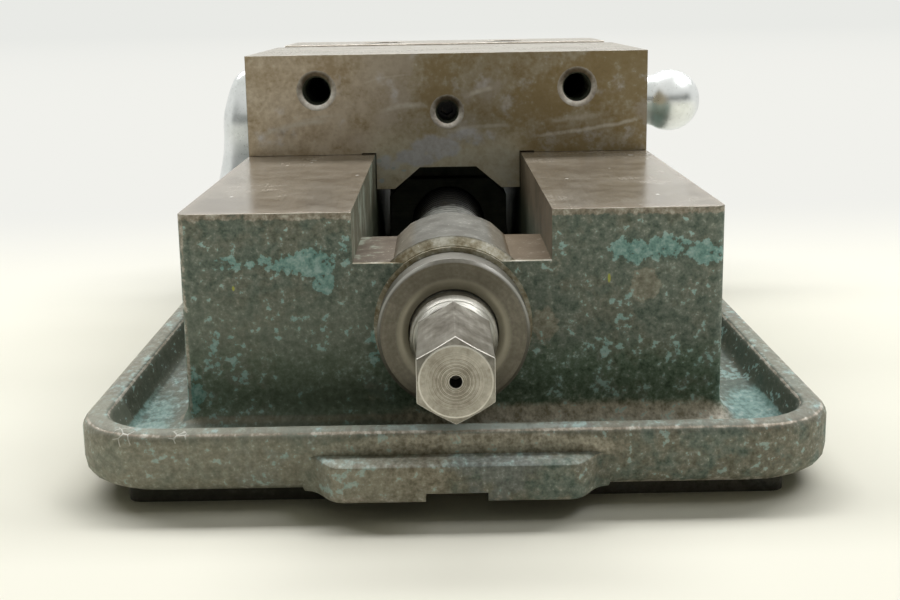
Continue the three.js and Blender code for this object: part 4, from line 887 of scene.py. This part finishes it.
def movable_jaw_face(where, facing):
    if in_hole(where, facing, HOLES):
        return SINK_NO if where.y < JAW_BACK + 1 else DARK_NO
    cavity = abs(where.x) < 20 and JAW_BACK + 20 < where.y < JAW_BACK + 90 and where.z < JAW_TOP - 5
    return DARK_NO if cavity or where.z < BED_TOP - 1 and abs(facing.y) < 0.5 else PATINA_NO


def outer_edge(at):
    return at.z > BED_TOP - 14 and not (abs(at.x) < 21 and at.y > JAW_BACK + 10)


def fixed_jaw_face(where, facing):
    if in_hole(where, facing, HOLES[:2]):
        return SINK_NO if where.y > FIXED_BACK - 1 else DARK_NO
    bolt_hole = math.hypot(abs(where.x) - 30, where.y - 137) < 11
    return DARK_NO if abs(facing.z) < 0.5 and bolt_hole else PATINA_NO


def movable_jaw():
    """The jaw with a thin relief line over the ways' corners and countersinks worn wide."""
    bm = merged_copy("movable_jaw", movable_jaw_face)
    for corner in bm.verts:
        at = corner.co / MM
        if HALF_SLOT - 1 < abs(at.x) < HALF_SLOT + 6 and 0.2 < at.z - BED_TOP < 3:
            corner.co.z = (BED_TOP + 0.45) * MM
        for x, z, reach in HOLES:
            off = Vector((at.x - x, 0, at.z - BED_TOP - z))
            if at.y < JAW_BACK + 0.1 and off.length < reach + 0.9:
                corner.co += off.normalized() * 1.1 * MM
    round_edges(bm, 0.35, number=WORN_NO, middle=outer_edge)
    stand_in(bm, "movable_jaw", [JAW, INSIDE, EDGE, RUBBED])


bed()
movable_jaw()
dressed("fixed_jaw", 0.4, [JAW, INSIDE, EDGE, EDGE], fixed_jaw_face, WORN_NO)
dressed("movable_jaw_plate", 0.3, [PLATE, EDGE], None, 1)
dressed("fixed_jaw_plate", 0.3, [PLATE, EDGE], None, 1)


# Threads in the jaws' tapped holes, as far in as they can be seen
def tapped_thread(name, body, hole, radius, start, end, pitch=JAW_PITCH):
    tooth = [(radius + 0.25, 0), (radius - 0.5, pitch * 0.32), (radius - 0.5, pitch * 0.46),
             (radius + 0.25, pitch * 0.78)]
    ridge = wound(tooth, start, end, pitch, (hole[0], 0, BED_TOP + hole[1]), 20)
    piece_from(ridge, name, [INSIDE], body)


for side, hole in zip(("left", "right"), HOLES):
    tapped_thread(f"movable_jaw_thread_{side}", "jaw", hole, 5.5, JAW_BACK + 1.2, JAW_BACK + 24)
    tapped_thread(f"fixed_jaw_thread_{side}", "bed", hole, 5.5, FIXED_BACK - 15, FIXED_BACK - 3)
tapped_thread("set_screw_thread", "jaw", HOLES[2], 4.45, JAW_BACK + 1.2, JAW_BACK + 14, 1.6)


def lead_screw():
    """The hexagon's own shape, a run-out at its root, a spun stem and a wound square-shouldered thread."""
    end = merged_copy("lead_screw")
    everything = end.verts[:] + end.edges[:] + end.faces[:]
    bmesh.ops.bisect_plane(end, geom=everything, plane_co=(0, (COLLAR_FRONT + 2) * MM, 0), plane_no=(0, 1, 0),
                           clear_outer=True)
    tip = low("lead_screw").y
    round_edges(end, 0.22, 2, 25, 1, middle=lambda at: at.y < tip + 2.5)
    run_out = [(radius, SHANK_FRONT + off) for radius, off in (
        (0, -3.6), (9.3, -3.6), (9.9, -2.2), (10.1, -2.2), (10.7, -1.0), (10.9, -1.0), (11.3, 0.1), (0, 0.1))]
    race, tail = high("thrust_race_rear").y, high("lead_screw").y
    ring_low, ring_high = low("screw_stop_ring").y, high("screw_stop_ring").y
    root, crest, groove = 11.9, 14.3, 12.4
    shoulder = race + 6
    stem = [(0, COLLAR_FRONT + 1), (12, COLLAR_FRONT + 1), (12, race), (18.4, race), (19, race + 0.6),
            (19, shoulder - 0.6), (18.4, shoulder), (root, shoulder), (root, ring_low - 3),
            (crest - 0.3, ring_low - 2.6), (crest, ring_low - 2.3), (crest, ring_low - 0.3),
            (groove, ring_low - 0.3), (groove, ring_high + 0.3), (crest, ring_high + 0.3), (crest, tail - 1),
            (crest - 1, tail), (0, tail)]
    tooth = [(radius, SCREW_PITCH * share) for radius, share in (
        (root - 0.4, 0), (crest - 0.15, 0.17), (crest, 0.2),
        (crest, 0.46), (crest - 0.15, 0.49), (root - 0.4, 0.66))]
    thread = wound(tooth, shoulder - 2, ring_low - 4.5, SCREW_PITCH, AXIS, 32)
    whole = joined(end, spun(run_out, "y", AXIS), marked(spun(stem, "y", AXIS), 2), marked(thread, 2))
    stand_in(whole, "lead_screw", [HEX, TIP_EDGE, THREAD_LIT_AND_SHADED], 32)


lead_screw()
dressed("front_collar", 0.16, [COLLAR])

# Thrust bearing, bush, nut and the other small pieces keep their own shape
for ring_node in ("thrust_race_front", "thrust_race_rear", "roller_cage", "screw_bush", "screw_stop_ring"):
    dressed(ring_node, 0.2)
for roller in range(1, 13):
    dressed(f"thrust_roller_{roller:02d}", 0.25)
dressed("lock_nut", 0.5)
dressed("lock_half_ball", 0.2)
dressed("fixed_jaw_key", 0.3)
dressed("jaw_set_screw", 0.15, [OXIDE])
dressed("collar_grub_screw", 0.2)


def socket_screw(node, head_length, shank, facing):
    """A knurled socket head screw with a threaded shank, its head facing one way in the node's box."""
    least, most = low(node), high(node)
    depth = abs((most - least).dot(facing))
    length = depth - head_length
    bm = socket_head((most.x - least.x) / 2, head_length, shank, length)
    pitch = JAW_PITCH
    tooth = [(shank - 0.8, 0), (shank, pitch * 0.42), (shank, pitch * 0.58), (shank - 0.8, pitch)]
    ridge = wound(tooth, 1.5, min(length, 20) - 2, pitch, (0, 0, 0), 18)
    bmesh.ops.rotate(ridge, cent=(0, 0, 0), matrix=Matrix.Rotation(math.pi / 2, 3, "X"), verts=ridge.verts)
    joined(bm, shifted(ridge, (0, 0, -length)))
    turn = Vector((0, 0, 1)).rotation_difference(facing).to_matrix()
    bmesh.ops.rotate(bm, cent=(0, 0, 0), matrix=turn, verts=bm.verts)
    shifted(bm, (least + most) / 2 + facing * (depth / 2 - head_length))
    stand_in(bm, node, [OXIDE], 30)


for side in ("left", "right"):
    socket_screw(f"fixed_plate_screw_{side}", 8.6, 5.2, Vector((0, -1, 0)))
    socket_screw(f"movable_plate_screw_{side}", 8.6, 5.2, Vector((0, 1, 0)))
    socket_screw(f"fixed_jaw_bolt_{side}", 12, 7, Vector((0, 0, 1)))


# Handle: a bell-shaped hub with a hexagon socket in its mouth, and an arm that ends in a ball
def handle_hub():
    least, most, middle = low("handle_hub"), high("handle_hub"), centre("handle_hub")
    shares = [
        (0.0, 1), (0.15, 0.997), (0.29, 0.987), (0.41, 0.969), (0.52, 0.945), (0.63, 0.906), (0.73, 0.862),
        (0.80, 0.826), (0.86, 0.79), (0.935, 0.745), (0.985, 0.70), (1.0, 0.655), (1.0, 0.60),
        (1.015, 0.55), (1.04, 0.50), (1.075, 0.46), (1.12, 0.42), (1.185, 0.37), (1.265, 0.31),
        (1.27, 0.20), (1.27, 0.03), (1.24, 0.008), (1.19, 0.0)]
    bm = spun([(12.6 * radius, least.z + (most.z - least.z) * up) for radius, up in shares], "z", steps=64)
    loop = open_edges(bm)
    for across_flats, up in ((20.6, 0.3), (19.85, 1.2), (19.85, 25)):
        deeper = ring_of(bm, 6, across_flats / math.sqrt(3), least.z + up, math.pi / 6)
        bmesh.ops.bridge_loops(bm, edges=loop + deeper)
        loop = deeper
    bmesh.ops.holes_fill(bm, edges=open_edges(bm), sides=6)
    stand_in(turned_out(shifted(bm, (middle.x, middle.y, 0))), "handle_hub", [CHROME], 50)


def handle_arm():
    least, most, middle = low("handle_arm"), high("handle_arm"), centre("handle_arm")
    start, neck, ball_x = least.x + 11, HALF_WIDTH + 1.6, most.x - BALL
    sweep = math.pi - math.asin(NECK / BALL)
    turns = [sweep * i / 22 for i in range(22, -1, -1)]
    globe = [(BALL * math.sin(turn), ball_x + BALL * math.cos(turn)) for turn in turns]
    profile = [(0, least.x), (6, least.x), (6, start - 0.3), (ARM - 0.4, start - 0.3), (ARM, start + 0.2)]
    profile += [(ARM + wider, neck + off) for wider, off in (
        (0, 0), (0.5, 1), (1.1, 3.4), (1.3, 8), (1.5, 14), (1.8, 18))]
    stand_in(spun(profile + globe, "x", (0, middle.y, middle.z)), "handle_arm", [CHROME], 40)


handle_hub()
handle_arm()

# Stage: a pale floor that ends in white, the photograph's view, and two lamps
BACKDROP = (241, 241, 236)
FAR_BACKDROP = (233, 234, 230)


def floor():
    """A wide disc, pale under the vise and plain backdrop further out."""
    bm = bmesh.new()
    bmesh.ops.create_circle(bm, cap_ends=True, segments=64, radius=14.0)
    ground = placed("studio_floor", mesh_of(bm, "studio_floor"))
    f = Finish("pale_floor", Roughness=0.85, Specular_IOR_Level=0.15)
    f.shader.inputs["Base Color"].default_value = tint(240, 238, 225)
    distance = (f.x * f.x + f.y * f.y).power(0.5)
    away = distance.rise(450, 1100).most(f.y.rise(-40, 340))
    white = f.ramp(distance.rise(1000, 7000), (0.0, BACKDROP), (1.0, FAR_BACKDROP))
    glow = f.node("ShaderNodeEmission", Color=white, Strength=1.0)
    mix = f.node("ShaderNodeMixShader", in0=away * f.seen_directly(), in1=f.shader.outputs[0],
                 in2=glow.outputs[0])
    f.links.new(mix.outputs[0], f.nodes["Material Output"].inputs["Surface"])
    ground.data.materials.append(f.material)


def camera():
    """A pinhole fitted to the photograph, in front of the screw end and a little above the jaws."""
    focal_pixels, frame_pixels, sensor = 1340, 900, 36.0
    down, aside, roll = 0.2163, 0.0049, 0.0161
    data = bpy.data.cameras.new("photo_view")
    data.sensor_width = sensor
    data.lens = focal_pixels / frame_pixels * sensor
    data.clip_start = 0.01
    view = placed("photo_view", data)
    place = Vector((-2.6, BED_FRONT - 366.9, BED_TOP + 55.3)) * MM
    view.matrix_world = (Matrix.Translation(place) @ Matrix.Rotation(-aside, 4, "Z")
                         @ Matrix.Rotation(math.pi / 2 - down, 4, "X") @ Matrix.Rotation(-roll, 4, "Z"))
    bpy.context.scene.camera = view


def room():
    """White where it is looked at, dim where it lights, with a dark band low in front for gloss."""
    world = bpy.data.worlds.new("room")
    world.use_nodes = True
    bpy.context.scene.world = world
    tree = Tree(world.node_tree)
    _, y, z = tree.split(tree.node("ShaderNodeTexCoord").outputs["Generated"])
    gloss = Field(tree, tree.node("ShaderNodeLightPath").outputs["Is Glossy Ray"])
    band = z.rise(0.0, 0.05) * z.rise(0.42, 0.25) * y.rise(-0.05, -0.4) * gloss
    lit = tree.node("ShaderNodeBackground", Color=tint(240, 240, 216), Strength=0.10)
    wall = tree.mixed(band, FAR_BACKDROP, (96, 100, 98))
    seen = tree.node("ShaderNodeBackground", Color=wall, Strength=1.0)
    mix = tree.node("ShaderNodeMixShader", in0=tree.seen_directly(), in1=lit.outputs[0], in2=seen.outputs[0])
    tree.links.new(mix.outputs[0], tree.nodes["World Output"].inputs["Surface"])


def lamp(name, place, wide, tall, power):
    """An area lamp at a place in metres, turned to the middle of the vise."""
    data = bpy.data.lights.new(name, "AREA")
    data.shape = "RECTANGLE"
    data.size, data.size_y = wide, tall
    data.energy = power
    source = placed(name, data)
    source.location = place
    source.rotation_euler = (Vector((0, -0.1, 0.03)) - Vector(place)).to_track_quat("-Z", "Y").to_euler()
    source.visible_camera = False


floor()
camera()
room()
lamp("panel_above", (0, 2.05, 3.2), 7.7, 1.15, 268)
lamp("lamp_right", (1.3, -0.1, 2.0), 0.9, 0.9, 8.5)
bpy.context.scene.view_settings.view_transform = "Standard"
